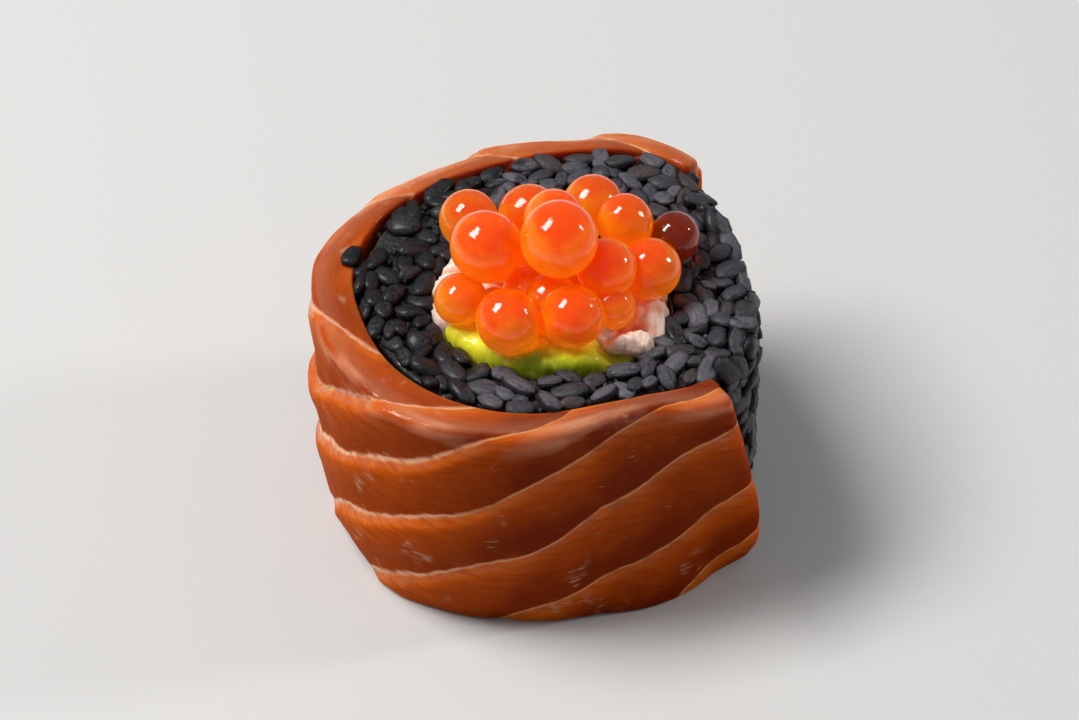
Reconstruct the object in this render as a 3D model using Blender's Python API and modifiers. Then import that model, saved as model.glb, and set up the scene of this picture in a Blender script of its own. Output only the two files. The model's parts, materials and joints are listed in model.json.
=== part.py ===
"""One cut piece of an inside-out sushi roll, standing on a cut face.

A strip of raw salmon is wrapped three quarters of the way round a roll of black
rice. The rice bulges out where the strip stops. In the middle a sheet of nori holds
avocado and prawn, and a heap of salmon roe lies on top of them.

Units are metres, +Z is up, and the origin is on the ground under the middle of the
piece. Angles are in degrees, counted anticlockwise from +X round the roll's axis.
"""
import math
import random

import bmesh
import bpy
from mathutils import Euler, Matrix, Vector

MM = 0.001

# Driving dimensions
CUT_HEIGHT = 32.0 * MM          # a roll of one nori sheet, cut in six
GAP = 0.3 * MM                  # left between neighbouring pieces
NORI_THICKNESS = 0.35 * MM

# The roll's outline: angle, radius of the rice, thickness of the salmon over it,
# and how far the foot is drawn in below the cut face.
STATIONS = (
    (0, 26.0, 2.6, 1.0),
    (15, 24.9, 2.6, 1.0),
    (30, 25.5, 2.6, 1.0),
    (50, 27.0, 2.5, 0.9),
    (65, 26.0, 3.0, 1.1),
    (80, 23.7, 2.7, 1.4),
    (100, 21.4, 2.6, 1.7),
    (125, 20.4, 2.6, 1.7),
    (150, 20.6, 3.2, 1.2),
    (175, 20.3, 4.8, 0.7),
    (200, 19.6, 4.9, 1.9),
    (225, 20.0, 5.1, 1.8),
    (250, 20.3, 4.9, 2.2),
    (275, 20.4, 3.7, 1.8),
    (295, 20.4, 2.7, 0.1),
    (310, 21.7, 2.4, -0.6),
    (323, 24.2, 2.4, 1.0),
    (340, 26.6, 2.4, 3.2),
)
FOOT_HEIGHT = 13.0 * MM         # the foot is drawn in below this height

# The salmon strip
STRIP_START = (51.0, 47.0)      # angle of its back end, at the cut face and the foot
STRIP_END = (328.0, 341.0)      # angle of its front end, which slants the same way
END_FLARE = 2.1 * MM            # the front end is thicker and stands off
END_FLARE_REACH = 6.0 * MM
RIM_ROUND = 0.9 * MM
STRIP_COLUMNS = 50
END_SHRINK = 0.72               # the blunt ends are rounded off by this much

# Fat lines climb the strip as parallel curves, and the flesh swells between them
LINE_MIDDLE = 17.0 * MM
LINE_CLIMB = 14.7 * MM
LINE_STEEPNESS = 1.2
LINE_LOWEST_AT = 170.0
LINE_PITCH = 9.7 * MM
LINES_BELOW = 4                 # enough lines to cover the strip from foot to rim
LINES_ABOVE = 4
FLESH_SWELL = 0.8 * MM
FLESH_ROWS = (0.0, 0.14, 0.5, 0.86)     # where the flesh is modelled between two lines

# The filling is an oval inside the nori
OVAL_CENTRE = Vector((2.4 * MM, -2.1 * MM, 0.0))
OVAL_HALF_LENGTH = 14.2 * MM
OVAL_HALF_DEPTH = 11.9 * MM
OVAL_SEGMENTS = 48
AVOCADO_BACK = -7.5 * MM        # the avocado lies in front of this plane
AVOCADO_BACK_TURN = -3.9        # which is turned by this angle
PRAWN_SEAMS = ((-8.0, 1.3), (52.0, 1.0), (118.0, 1.2), (176.0, 1.1))  # angle, depth in mm
SEAM_HALF_WIDTH = 8.0

# Rice grains
GRAIN_HALF_LENGTH = 2.3 * MM
GRAIN_HALF_WIDTH = 1.35 * MM
GRAIN_HALF_THICKNESS = 1.1 * MM
GRAIN_SEGMENTS = 5
GRAIN_RINGS = 4
GRAIN_BLUNTNESS = 0.25
GRAIN_SPACING = 2.75 * MM
GRAIN_TRIES = 9000
GRAIN_TURNS = 10                # turns tried for a grain before its place is left bare
GRAIN_SIZE_SPREAD = 0.16
GRAIN_TILT = 14.0
GRAIN_PROUD = 0.15 * MM         # a grain's middle lies this far outside the core
CORE_DEPTH = 0.95 * MM          # the core lies this far inside the rice's outline
COVERED_MARGIN = 4.0            # grains are tried this far under the strip's ends,
CLEAR_OF_STRIP = 1.2            # and those that stand out stay this far beside them
RICE_COLUMNS = 60
RICE_SEED = 11

# Salmon roe: each egg's place in plan and its radius, in mm, from the first laid
# down to the last. Each egg rests on the filling or on the eggs under it.
ROE = (
    (-7.4, 6.6, 3.3),
    (-0.6, 7.8, 3.4),
    (6.6, 9.9, 3.35),
    (-7.4, -6.2, 2.9),
    (-1.8, -10.1, 3.5),
    (5.3, -8.7, 3.45),
    (13.6, -0.4, 3.45),
    (16.05, 5.6, 2.85),
    (-3.3, 1.2, 3.0),
    (0.0, -4.3, 2.7),
    (3.2, 2.6, 2.0),
    (8.7, -3.0, 2.7),
    (7.9, 2.3, 2.1),
    (10.5, 5.55, 3.05),
    (2.6, 3.0, 3.4),
    (-4.7, -2.8, 3.95),
    (3.5, -3.7, 4.1),
)
ROE_OUTER = (0, 1, 2, 7, 6, 11, 5, 4, 3, 8)     # the eggs round the heap's edge, in order
ROE_SQUASH = 0.94               # eggs settle into each other a little
ROE_CORE_THICKNESS = 1.6 * MM
EGG_SUBDIVISIONS = 2
EGG_FACET_ALLOWANCE = 1.03      # brings the facets out to the true radius


# ------------------------------------------------------------------ shape rules

def smoothstep(value):
    value = min(1.0, max(0.0, value))
    return value * value * (3.0 - 2.0 * value)


def station(angle, column):
    """A column of STATIONS at any angle, on a smooth closed curve."""
    angle %= 360.0
    count = len(STATIONS)
    index = max(i for i in range(count) if STATIONS[i][0] <= angle)
    knots = []
    for step in (-1, 0, 1, 2):
        turn, place = divmod(index + step, count)
        knots.append((STATIONS[place][0] + 360.0 * turn, STATIONS[place][column]))
    (a0, v0), (a1, v1), (a2, v2), (a3, v3) = knots
    slope_1 = (v2 - v0) / (a2 - a0)
    slope_2 = (v3 - v1) / (a3 - a1)
    span = a2 - a1
    t = (angle - a1) / span
    value = ((2 * t**3 - 3 * t**2 + 1) * v1 + (t**3 - 2 * t**2 + t) * span * slope_1
             + (3 * t**2 - 2 * t**3) * v2 + (t**3 - t**2) * span * slope_2)
    return value * MM


def rice_radius(angle, height):
    foot = min(1.0, max(0.0, 1.0 - height / FOOT_HEIGHT)) ** 2
    return station(angle, 1) - station(angle, 3) * foot


def strip_limits(height):
    """The angles at which the salmon strip starts and ends at a height."""
    share = min(1.0, max(0.0, height / CUT_HEIGHT))
    start = STRIP_START[1] + (STRIP_START[0] - STRIP_START[1]) * share
    end = STRIP_END[1] + (STRIP_END[0] - STRIP_END[1]) * share
    return start, end


def fat_line(angle):
    """The height of the middle fat line at an angle."""
    turn = math.radians(LINE_STEEPNESS * (angle - LINE_LOWEST_AT))
    return LINE_MIDDLE - LINE_CLIMB * math.cos(turn)


def strip_angle(share, height):
    start, end = strip_limits(height)
    return start + (end - start) * share


def around(angle, radius, height):
    turn = math.radians(angle)
    return Vector((radius * math.cos(turn), radius * math.sin(turn), height))


def strip_point(angle, height, outward):
    """A point on the salmon's inner face, or moved out from it square to the face."""
    step = 0.5
    before = around(angle - step, rice_radius(angle - step, height), height)
    after = around(angle + step, rice_radius(angle + step, height), height)
    along = (after - before).normalized()
    return around(angle, rice_radius(angle, height), height) + Vector((along.y, -along.x, 0.0)) * outward


def strip_thickness(share, height):
    angle = strip_angle(share, height)
    to_end = math.radians(strip_limits(height)[1] - angle) * rice_radius(angle, height)
    return station(angle, 2) + END_FLARE * smoothstep(1.0 - to_end / END_FLARE_REACH)


def on_oval(angle, outward=0.0):
    """A point on the nori's outer face, or moved out from it."""
    turn = math.radians(angle)
    return OVAL_CENTRE + Vector(((OVAL_HALF_LENGTH + outward) * math.cos(turn),
                                 (OVAL_HALF_DEPTH + outward) * math.sin(turn), 0.0))


def egg_places():
    """The middle and radius of every egg, each dropped onto what lies below it."""
    placed = []
    for x, y, radius in ROE:
        radius *= MM
        middle = Vector((x * MM, y * MM, CUT_HEIGHT + GAP + radius))
        for other, other_radius in placed:
            apart = math.hypot(middle.x - other.x, middle.y - other.y)
            reach = (radius + other_radius) * ROE_SQUASH
            if apart < reach:
                middle.z = max(middle.z, other.z + math.sqrt(reach**2 - apart**2))
        placed.append((middle, radius))
    return placed


# ------------------------------------------------------------------ mesh helpers

def add_object(name, mesh, material, collection):
    obj = bpy.data.objects.new(name, mesh)
    collection.objects.link(obj)
    mesh.materials.append(material)
    return obj


def finish_mesh(name, shape, sharp_angle=40.0):
    bmesh.ops.recalc_face_normals(shape, faces=shape.faces)
    mesh = bpy.data.meshes.new(name)
    shape.to_mesh(mesh)
    shape.free()
    mesh.shade_smooth()
    mesh.set_sharp_from_angle(angle=math.radians(sharp_angle))
    return mesh


def loft(sections, closed):
    """Skin a row of closed sections, and cap its two ends if it isn't a ring."""
    shape = bmesh.new()
    rings = [[shape.verts.new(point) for point in section] for section in sections]
    count = len(rings[0])
    pairs = list(zip(rings, rings[1:]))
    if closed:
        pairs.append((rings[-1], rings[0]))
    for ring, next_ring in pairs:
        for i in range(count):
            j = (i + 1) % count
            shape.faces.new((ring[i], ring[j], next_ring[j], next_ring[i]))
    if not closed:
        caps = [shape.faces.new(ring) for ring in (rings[0], rings[-1])]
        bmesh.ops.triangulate(shape, faces=caps)
    return shape


def keep_outer_shell(mesh):
    """Drop loose scraps and sealed hollows, which all have fewer corners than the body."""
    shape = bmesh.new()
    shape.from_mesh(mesh)
    unseen = set(shape.verts)
    shells = []
    while unseen:
        shell = {unseen.pop()}
        edge_of_shell = list(shell)
        while edge_of_shell:
            for edge in edge_of_shell.pop().link_edges:
                for vert in edge.verts:
                    if vert in unseen:
                        unseen.remove(vert)
                        shell.add(vert)
                        edge_of_shell.append(vert)
        shells.append(shell)
    body = max(shells, key=len)
    scraps = [vert for shell in shells if shell is not body for vert in shell]
    bmesh.ops.delete(shape, geom=scraps, context="VERTS")
    bmesh.ops.dissolve_degenerate(shape, dist=0.002 * MM, edges=shape.edges)
    bmesh.ops.triangulate(shape, faces=shape.faces)
    shape.to_mesh(mesh)
    shape.free()


def fuse(core, pieces):
    """Join the pieces to the core with one Boolean union, then remove them."""
    group = bpy.data.collections.new(core.name + "_pieces")
    bpy.context.scene.collection.children.link(group)
    for piece in pieces:
        group.objects.link(piece)
    union = core.modifiers.new("fuse", "BOOLEAN")
    union.operation = "UNION"
    union.operand_type = "COLLECTION"
    union.collection = group
    union.solver = "EXACT"
    bpy.context.view_layer.update()
    graph = bpy.context.evaluated_depsgraph_get()
    fused = bpy.data.meshes.new_from_object(core.evaluated_get(graph))
    core.modifiers.remove(union)
    fused.name = core.name
    core.data = fused
    for piece in pieces:
        bpy.data.objects.remove(piece)
    bpy.data.collections.remove(group)
    keep_outer_shell(fused)
    fused.shade_smooth()
    fused.set_sharp_from_angle(angle=math.radians(50.0))


def food_material(name, colour, roughness):
    material = bpy.data.materials.new(name)
    material.use_nodes = True
    shader = material.node_tree.nodes["Principled BSDF"]
    shader.inputs["Base Color"].default_value = (*colour, 1.0)
    shader.inputs["Roughness"].default_value = roughness
    shader.inputs["Metallic"].default_value = 0.0
    return material


# ------------------------------------------------------------------ the pieces

def strip_section(share, shrink):
    """The blank's section at a share of the way round, with a row on every fat line."""
    points = []
    for line in range(-LINES_BELOW, LINES_ABOVE):
        for row in FLESH_ROWS:
            height = CUT_HEIGHT / 2
            for _ in range(6):      # the ends slant, so angle and height settle together
                height = fat_line(strip_angle(share, height)) + (line + row) * LINE_PITCH
            swell = FLESH_SWELL * (1.0 - abs(2.0 * row - 1.0) ** 3) - FLESH_SWELL * 0.6
            outward = strip_thickness(share, height) + swell
            points.append(strip_point(strip_angle(share, height), height, outward))
    above = points[-1].z
    below = points[0].z
    for height in (above, CUT_HEIGHT, FOOT_HEIGHT, FOOT_HEIGHT * 0.4, 0.0, below):
        points.append(strip_point(strip_angle(share, height), height, 0.0))
    half = strip_thickness(share, CUT_HEIGHT / 2) / 2
    for point in points:
        middle = strip_point(strip_angle(share, point.z), point.z, half)
        point.xy = middle.xy + (point.xy - middle.xy) * shrink
    return points


def slice_flat(shape, height, keep_below):
    """Cut a solid along a level plane and close it there."""
    geometry = shape.verts[:] + shape.edges[:] + shape.faces[:]
    cut = bmesh.ops.bisect_plane(shape, geom=geometry, dist=0.02 * MM, plane_co=(0.0, 0.0, height),
                                 plane_no=(0.0, 0.0, 1.0), clear_outer=keep_below,
                                 clear_inner=not keep_below)
    for item in cut["geom_cut"]:
        if isinstance(item, bmesh.types.BMVert):
            item.co.z = height
    edges = [item for item in cut["geom_cut"] if isinstance(item, bmesh.types.BMEdge)]
    bmesh.ops.edgeloop_fill(shape, edges=edges)


def round_rim(shape):
    """Round the outer edge of the strip's cut face."""
    for depth, inset in ((1.0, 0.0), (0.35, 0.3), (0.0, 1.0)):
        height = CUT_HEIGHT - RIM_ROUND * depth
        if depth:
            geometry = shape.verts[:] + shape.edges[:] + shape.faces[:]
            bmesh.ops.bisect_plane(shape, geom=geometry, dist=0.02 * MM,
                                   plane_co=(0.0, 0.0, height), plane_no=(0.0, 0.0, 1.0))
        for vert in shape.verts:
            if abs(vert.co.z - height) < 0.01 * MM:
                angle = math.degrees(math.atan2(vert.co.y, vert.co.x)) % 360.0
                if vert.co.xy.length > rice_radius(angle, height) + RIM_ROUND:
                    vert.co.xy *= 1.0 - RIM_ROUND * inset / vert.co.xy.length


def build_salmon(collection):
    end_step = 0.35 / STRIP_COLUMNS
    shares = [i / STRIP_COLUMNS for i in range(STRIP_COLUMNS + 1)]
    sections = [strip_section(0.0, END_SHRINK), strip_section(end_step, 1.0)]
    sections += [strip_section(share, 1.0) for share in shares[1:-1]]
    sections += [strip_section(1.0 - end_step, 1.0), strip_section(1.0, END_SHRINK)]
    blank = loft(sections, closed=False)
    slice_flat(blank, CUT_HEIGHT, keep_below=True)
    slice_flat(blank, 0.0, keep_below=False)
    round_rim(blank)
    mesh = finish_mesh("salmon_wrap", blank)
    return add_object("salmon_wrap", mesh, food_material("salmon", (0.55, 0.19, 0.06), 0.3),
                      collection)


def rice_section(angle):
    """The rice core's section at an angle, from its foot up and back down the hole."""
    past_end = (angle - STRIP_END[0] + 1.0) if angle > 180.0 else (STRIP_START[0] + 1.0 - angle)
    inset = GAP + (CORE_DEPTH - GAP) * smoothstep(past_end / 4.0)
    points = [around(angle, rice_radius(angle, height) - inset, height)
              for height in (0.0, 4 * MM, 9 * MM, 17 * MM, 25 * MM, CUT_HEIGHT - 2.6 * MM)]
    shoulder = rice_radius(angle, CUT_HEIGHT) - inset
    top = CUT_HEIGHT - CORE_DEPTH
    points.append(around(angle, shoulder - 0.25 * MM, top - 0.6 * MM))
    points.append(around(angle, shoulder - 0.9 * MM, top))
    hole = on_oval(angle, GAP)
    points.append(hole + Vector((0.0, 0.0, top)))
    points.append(hole.copy())
    return points


def scatter_on(mesh, rng, allowed):
    """Points spread evenly over part of a mesh, with the surface's normal there."""
    shape = bmesh.new()
    shape.from_mesh(mesh)
    bmesh.ops.triangulate(shape, faces=shape.faces)
    faces = [face for face in shape.faces if allowed(face)]
    areas = [face.calc_area() for face in faces]
    chosen = []
    for face in rng.choices(faces, weights=areas, k=GRAIN_TRIES):
        a, b, c = (vert.co for vert in face.verts)
        across, along = rng.random(), rng.random()
        if across + along > 1.0:
            across, along = 1.0 - across, 1.0 - along
        point = a + (b - a) * across + (c - a) * along
        if all((point - other).length > GRAIN_SPACING for other, _ in chosen):
            chosen.append((point, face.normal.copy()))
    shape.free()
    return chosen


def is_clear(point, eggs):
    """Whether a point of a grain is clear of the ground, salmon, nori and roe."""
    if point.z < 0.2 * MM:
        return False
    height = min(point.z, CUT_HEIGHT)
    angle = math.degrees(math.atan2(point.y, point.x)) % 360.0
    start, end = strip_limits(height)
    beside_strip = start - CLEAR_OF_STRIP < angle < end + CLEAR_OF_STRIP
    if beside_strip and point.xy.length > rice_radius(angle, height) - GAP:
        return False
    across = (point.x - OVAL_CENTRE.x) / (OVAL_HALF_LENGTH + GAP)
    deep = (point.y - OVAL_CENTRE.y) / (OVAL_HALF_DEPTH + GAP)
    if across**2 + deep**2 < 1.0:
        return False
    return all((point - egg).length > radius * EGG_FACET_ALLOWANCE + GAP for egg, radius in eggs)


def inside_outline(point, outline):
    """Whether a point lies inside a closed outline in plan."""
    inside = False
    for (x1, y1), (x2, y2) in zip(outline, outline[1:] + outline[:1]):
        if (y1 > point.y) != (y2 > point.y):
            if point.x < x1 + (x2 - x1) * (point.y - y1) / (y2 - y1):
                inside = not inside
    return inside


def grain_mesh():
    """A rounded grain with blunt ends, lying along X."""
    shape = bmesh.new()
    bmesh.ops.create_uvsphere(shape, u_segments=GRAIN_SEGMENTS, v_segments=GRAIN_RINGS, radius=1.0)
    for vert in shape.verts:
        vert.co.xy *= 1.0 + GRAIN_BLUNTNESS * abs(vert.co.z)
    lie_down = Matrix.Rotation(math.radians(90.0), 4, "Y")
    size = Matrix.Diagonal((GRAIN_HALF_LENGTH, GRAIN_HALF_WIDTH, GRAIN_HALF_THICKNESS, 1.0))
    bmesh.ops.transform(shape, matrix=size @ lie_down, verts=shape.verts)
    return finish_mesh("grain", shape)


def random_lie(rng):
    """A grain's size, its turn about the surface's normal, and a slight tilt."""
    spin = Matrix.Rotation(rng.uniform(0.0, math.pi), 4, "Z")
    tilt = Euler([math.radians(rng.uniform(-GRAIN_TILT, GRAIN_TILT)) for _ in range(2)] + [0.0])
    size = Matrix.Scale(1.0 + rng.uniform(-GRAIN_SIZE_SPREAD, GRAIN_SIZE_SPREAD), 4)
    return tilt.to_matrix().to_4x4() @ spin @ size


def build_rice(collection, eggs):
    angles = [360.0 * i / RICE_COLUMNS for i in range(RICE_COLUMNS)]
    mesh = finish_mesh("black_rice", loft([rice_section(angle) for angle in angles], closed=True))
    core = add_object("black_rice", mesh, food_material("rice", (0.05, 0.055, 0.07), 0.4),
                      collection)

    def shows(face):
        middle = face.calc_center_median()
        if face.normal.z > 0.5:
            return True
        start, end = strip_limits(middle.z)
        angle = math.degrees(math.atan2(middle.y, middle.x)) % 360.0
        covered = start + COVERED_MARGIN < angle < end - COVERED_MARGIN
        outside = face.normal.xy.dot(middle.xy) > 0.0
        return outside and face.normal.z > -0.5 and not covered

    rng = random.Random(RICE_SEED)
    heap_edge = [tuple(eggs[i][0].xy) for i in ROE_OUTER]

    def fits(corner):
        under_roe = corner.z > CUT_HEIGHT - 0.1 * MM and inside_outline(corner, heap_edge)
        return not under_roe and is_clear(corner, eggs)

    shape = grain_mesh()
    grains = []
    for point, normal in scatter_on(mesh, rng, shows):
        facing = normal.to_track_quat("Z", "X").to_matrix().to_4x4()
        place = Matrix.Translation(point + normal * GRAIN_PROUD) @ facing
        for _ in range(GRAIN_TURNS):
            matrix = place @ random_lie(rng)
            if all(fits(matrix @ vert.co) for vert in shape.vertices):
                grain = bpy.data.objects.new("grain", shape)
                grain.matrix_world = matrix
                grains.append(grain)
                break
    fuse(core, grains)
    return core


def oval_cylinder(outward, capped):
    shape = bmesh.new()
    bmesh.ops.create_cone(shape, cap_ends=capped, segments=OVAL_SEGMENTS, radius1=1.0,
                          radius2=1.0, depth=CUT_HEIGHT)
    size = Matrix.Diagonal((OVAL_HALF_LENGTH + outward, OVAL_HALF_DEPTH + outward, 1.0, 1.0))
    stand = Matrix.Translation(OVAL_CENTRE + Vector((0.0, 0.0, CUT_HEIGHT / 2)))
    bmesh.ops.transform(shape, matrix=stand @ size, verts=shape.verts)
    return shape


def build_nori(collection):
    mesh = finish_mesh("nori", oval_cylinder(0.0, capped=False))
    nori = add_object("nori", mesh, food_material("nori", (0.012, 0.018, 0.01), 0.45), collection)
    sheet = nori.modifiers.new("sheet", "SOLIDIFY")
    sheet.thickness = NORI_THICKNESS
    sheet.offset = -1.0
    return nori


def cut_filling(keep_front):
    """The filling's oval, cut along the back of the avocado."""
    shape = oval_cylinder(-NORI_THICKNESS - GAP, capped=True)
    turn = Matrix.Rotation(math.radians(AVOCADO_BACK_TURN), 3, "Z")
    side = turn @ Vector((0.0, 1.0, 0.0))
    move = -GAP / 2 if keep_front else GAP / 2
    plane = Vector((0.0, AVOCADO_BACK, 0.0)) + side * move
    geometry = shape.verts[:] + shape.edges[:] + shape.faces[:]
    cut = bmesh.ops.bisect_plane(shape, geom=geometry, plane_co=plane, plane_no=side,
                                 clear_outer=keep_front, clear_inner=not keep_front)
    edges = [item for item in cut["geom_cut"] if isinstance(item, bmesh.types.BMEdge)]
    bmesh.ops.edgeloop_fill(shape, edges=edges)
    return shape


def build_avocado(collection):
    mesh = finish_mesh("avocado", cut_filling(keep_front=True))
    return add_object("avocado", mesh, food_material("avocado", (0.45, 0.5, 0.08), 0.4), collection)


def build_prawn(collection):
    """Prawn meat fills the rest of the oval, with seams where its lumps meet."""
    shape = cut_filling(keep_front=False)
    for vert in shape.verts:
        from_middle = vert.co - OVAL_CENTRE
        angle = math.degrees(math.atan2(from_middle.y / OVAL_HALF_DEPTH,
                                        from_middle.x / OVAL_HALF_LENGTH))
        for seam, depth in PRAWN_SEAMS:
            apart = abs((angle - seam + 180.0) % 360.0 - 180.0)
            pull = depth * MM * smoothstep(1.0 - apart / SEAM_HALF_WIDTH)
            inward = Vector((from_middle.x, from_middle.y, 0.0)).normalized()
            vert.co -= inward * pull
    mesh = finish_mesh("prawn", shape)
    return add_object("prawn", mesh, food_material("prawn", (0.75, 0.5, 0.42), 0.4), collection)


def build_roe(collection, eggs):
    """A thin core under the heap joins the eggs that lie on the filling."""
    shape = bmesh.new()
    edge = [eggs[i][0].xy for i in ROE_OUTER]
    corners = [shape.verts.new((point.x, point.y, CUT_HEIGHT + GAP)) for point in edge]
    bottom = shape.faces.new(corners)
    top = bmesh.ops.extrude_face_region(shape, geom=[bottom])
    raised = [item for item in top["geom"] if isinstance(item, bmesh.types.BMVert)]
    bmesh.ops.translate(shape, vec=(0.0, 0.0, ROE_CORE_THICKNESS), verts=raised)
    roe = add_object("roe", finish_mesh("roe", shape), food_material("roe", (0.85, 0.2, 0.01), 0.1),
                     collection)

    shape = bmesh.new()
    bmesh.ops.create_icosphere(shape, subdivisions=EGG_SUBDIVISIONS, radius=EGG_FACET_ALLOWANCE)
    egg_mesh = finish_mesh("egg", shape)
    pieces = []
    for number, (middle, radius) in enumerate(eggs):
        egg = bpy.data.objects.new("egg", egg_mesh)
        spin = Matrix.Rotation(math.radians(37.0 * number), 4, "Z")
        egg.matrix_world = Matrix.Translation(middle) @ spin @ Matrix.Scale(radius, 4)
        pieces.append(egg)
    fuse(roe, pieces)
    return roe


def stand_on_origin(objects):
    """Move the whole piece so that the origin is under the middle of its box."""
    bpy.context.view_layer.update()
    graph = bpy.context.evaluated_depsgraph_get()
    corners = [obj.matrix_world @ vert.co for obj in objects
               for vert in obj.evaluated_get(graph).data.vertices]
    low = Vector([min(corner[axis] for corner in corners) for axis in range(3)])
    high = Vector([max(corner[axis] for corner in corners) for axis in range(3)])
    middle = (low + high) / 2
    for obj in objects:
        obj.location = (-middle.x, -middle.y, -low.z)


def main():
    for obj in list(bpy.data.objects):
        bpy.data.objects.remove(obj)
    collection = bpy.data.collections.new("sushi_roll_piece")
    bpy.context.scene.collection.children.link(collection)
    eggs = egg_places()
    pieces = [
        build_salmon(collection),
        build_rice(collection, eggs),
        build_nori(collection),
        build_avocado(collection),
        build_prawn(collection),
        build_roe(collection, eggs),
    ]
    stand_on_origin(pieces)


main()
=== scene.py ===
"""Looks for one cut piece of an inside-out sushi roll.

A salmon strip is wrapped round black rice, nori, avocado and prawn, and a heap of
salmon roe lies on top. Sizes inside the functions are in millimetres and angles in
degrees, counted anticlockwise from +X round the roll's axis. The roll's axis is where
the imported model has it, and meshes are brought to metres as they are made.
"""
import json
import math
import random

import bmesh
import bpy
import numpy as np
from bpy.props import FloatProperty, FloatVectorProperty, IntProperty, PointerProperty
from mathutils import Euler, Matrix, Vector, noise

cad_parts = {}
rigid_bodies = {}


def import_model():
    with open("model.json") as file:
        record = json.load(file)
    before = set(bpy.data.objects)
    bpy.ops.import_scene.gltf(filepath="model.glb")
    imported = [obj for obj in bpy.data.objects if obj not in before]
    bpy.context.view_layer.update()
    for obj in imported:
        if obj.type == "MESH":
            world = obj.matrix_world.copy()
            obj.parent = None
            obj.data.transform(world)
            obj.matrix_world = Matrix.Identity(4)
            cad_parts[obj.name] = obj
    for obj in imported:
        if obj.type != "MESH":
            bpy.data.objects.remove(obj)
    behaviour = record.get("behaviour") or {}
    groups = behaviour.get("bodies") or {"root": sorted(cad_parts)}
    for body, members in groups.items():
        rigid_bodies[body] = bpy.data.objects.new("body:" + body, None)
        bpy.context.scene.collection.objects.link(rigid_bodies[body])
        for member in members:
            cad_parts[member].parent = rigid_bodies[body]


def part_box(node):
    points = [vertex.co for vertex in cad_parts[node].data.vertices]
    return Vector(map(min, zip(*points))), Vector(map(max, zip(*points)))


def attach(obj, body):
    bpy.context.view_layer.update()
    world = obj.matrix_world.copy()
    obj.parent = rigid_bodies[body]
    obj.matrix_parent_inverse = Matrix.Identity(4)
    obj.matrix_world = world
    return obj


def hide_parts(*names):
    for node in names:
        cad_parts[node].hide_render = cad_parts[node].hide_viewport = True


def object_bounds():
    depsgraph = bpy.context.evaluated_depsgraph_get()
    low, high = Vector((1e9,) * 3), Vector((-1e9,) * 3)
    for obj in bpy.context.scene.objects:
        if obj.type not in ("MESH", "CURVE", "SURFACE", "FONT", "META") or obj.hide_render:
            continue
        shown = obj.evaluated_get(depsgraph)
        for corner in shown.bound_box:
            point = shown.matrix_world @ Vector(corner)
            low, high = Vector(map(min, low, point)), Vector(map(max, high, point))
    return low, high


bl_info = {
    "name": "Sushi Roll Piece",
    "version": (1, 0, 0),
    "blender": (4, 5, 0),
    "location": "3D View > Sidebar > Sushi",
    "description": "Dresses one cut piece of a salmon and black rice roll",
    "category": "Add Mesh",
}

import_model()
cad_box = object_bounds()

MM = 0.001
CUT_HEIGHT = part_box("salmon_wrap")[1].z / MM

# The filling's oval, and the roll's axis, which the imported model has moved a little
OVAL_CENTRE = np.array((2.4, -2.1, 0.0))
OVAL_HALF = np.array((14.2, 11.9))
nori_low, nori_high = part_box("nori")
nori_middle = np.array(((nori_low.x + nori_high.x) / 2, (nori_low.y + nori_high.y) / 2, 0.0))
AXIS = nori_middle / MM - OVAL_CENTRE

# Angle, radius of the rice, thickness of the salmon, how far the foot is drawn in
STATIONS = np.array((
    (0, 26.0, 2.6, 1.0), (15, 24.9, 2.6, 1.0), (30, 25.5, 2.6, 1.0), (50, 27.0, 2.5, 0.9),
    (65, 26.0, 3.0, 1.1), (80, 23.7, 2.7, 1.4), (100, 21.4, 2.6, 1.7), (125, 20.4, 2.6, 1.7),
    (150, 20.6, 3.2, 1.2), (175, 20.3, 4.8, 0.7), (200, 19.6, 4.9, 1.9), (225, 20.0, 5.1, 1.8),
    (250, 20.3, 4.9, 2.2), (275, 20.4, 3.7, 1.8), (295, 20.4, 2.7, 0.1), (310, 21.7, 2.4, -0.6),
    (323, 24.2, 2.4, 1.0), (340, 26.6, 2.4, 3.2),
))
FOOT_HEIGHT = 13.0
STRIP_START = (51.0, 47.0)      # at the cut face and at the foot
STRIP_END = (328.0, 341.0)
END_FLARE = 2.1                 # the front end is thicker, over the reach
END_FLARE_REACH = 6.0
STRIP_LENGTH = 118.0
STRIP_ROWS = 118                # rows of faces up the strip's side
RUN_RADIUS = 24.0               # turns an angle into a run along the strip
END_ROUNDING = 1.3              # how much of the strip's length its rounded ends take
END_POWER = 3.2                 # how square the rounded ends are
OUTER_CORNERS = (0.95, 0.5)     # rounding of the strip's long edges, at the cut and at the foot
INNER_CORNERS = (0.4, 0.3)
FRONT_RUN = (98.0, 118.0)       # where the broad flakes of the back give way to the front's

# The salmon's flakes: how a line of fat climbs round the strip, and where each one lies
FAT_CLIMB = np.array((
    (40, 34.0), (80, 22.0), (120, 10.0), (150, 1.0), (170, -1.5), (185, 0.3), (200, 4.3),
    (230, 13.0), (260, 20.8), (290, 27.3), (312, 31.3), (328, 37.0), (345, 44.0),
))
FAT_LINES = np.array((-66.0, -55.0, -44.0, -33.0, -22.2, -10.2, 0.0, 9.4, 19.0, 30.3, 41.0, 52.0,
                      63.0))
FLAKE_STEPS = np.array((0.6, 0.5, 0.6, 0.5, 0.75, 0.55, 0.6, 0.55, 1.0, 0.45, 0.6, 0.5, 0.5))
FAT_SLANT = 1.6                 # a sheet of fat drops by this for each millimetre inwards

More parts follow.
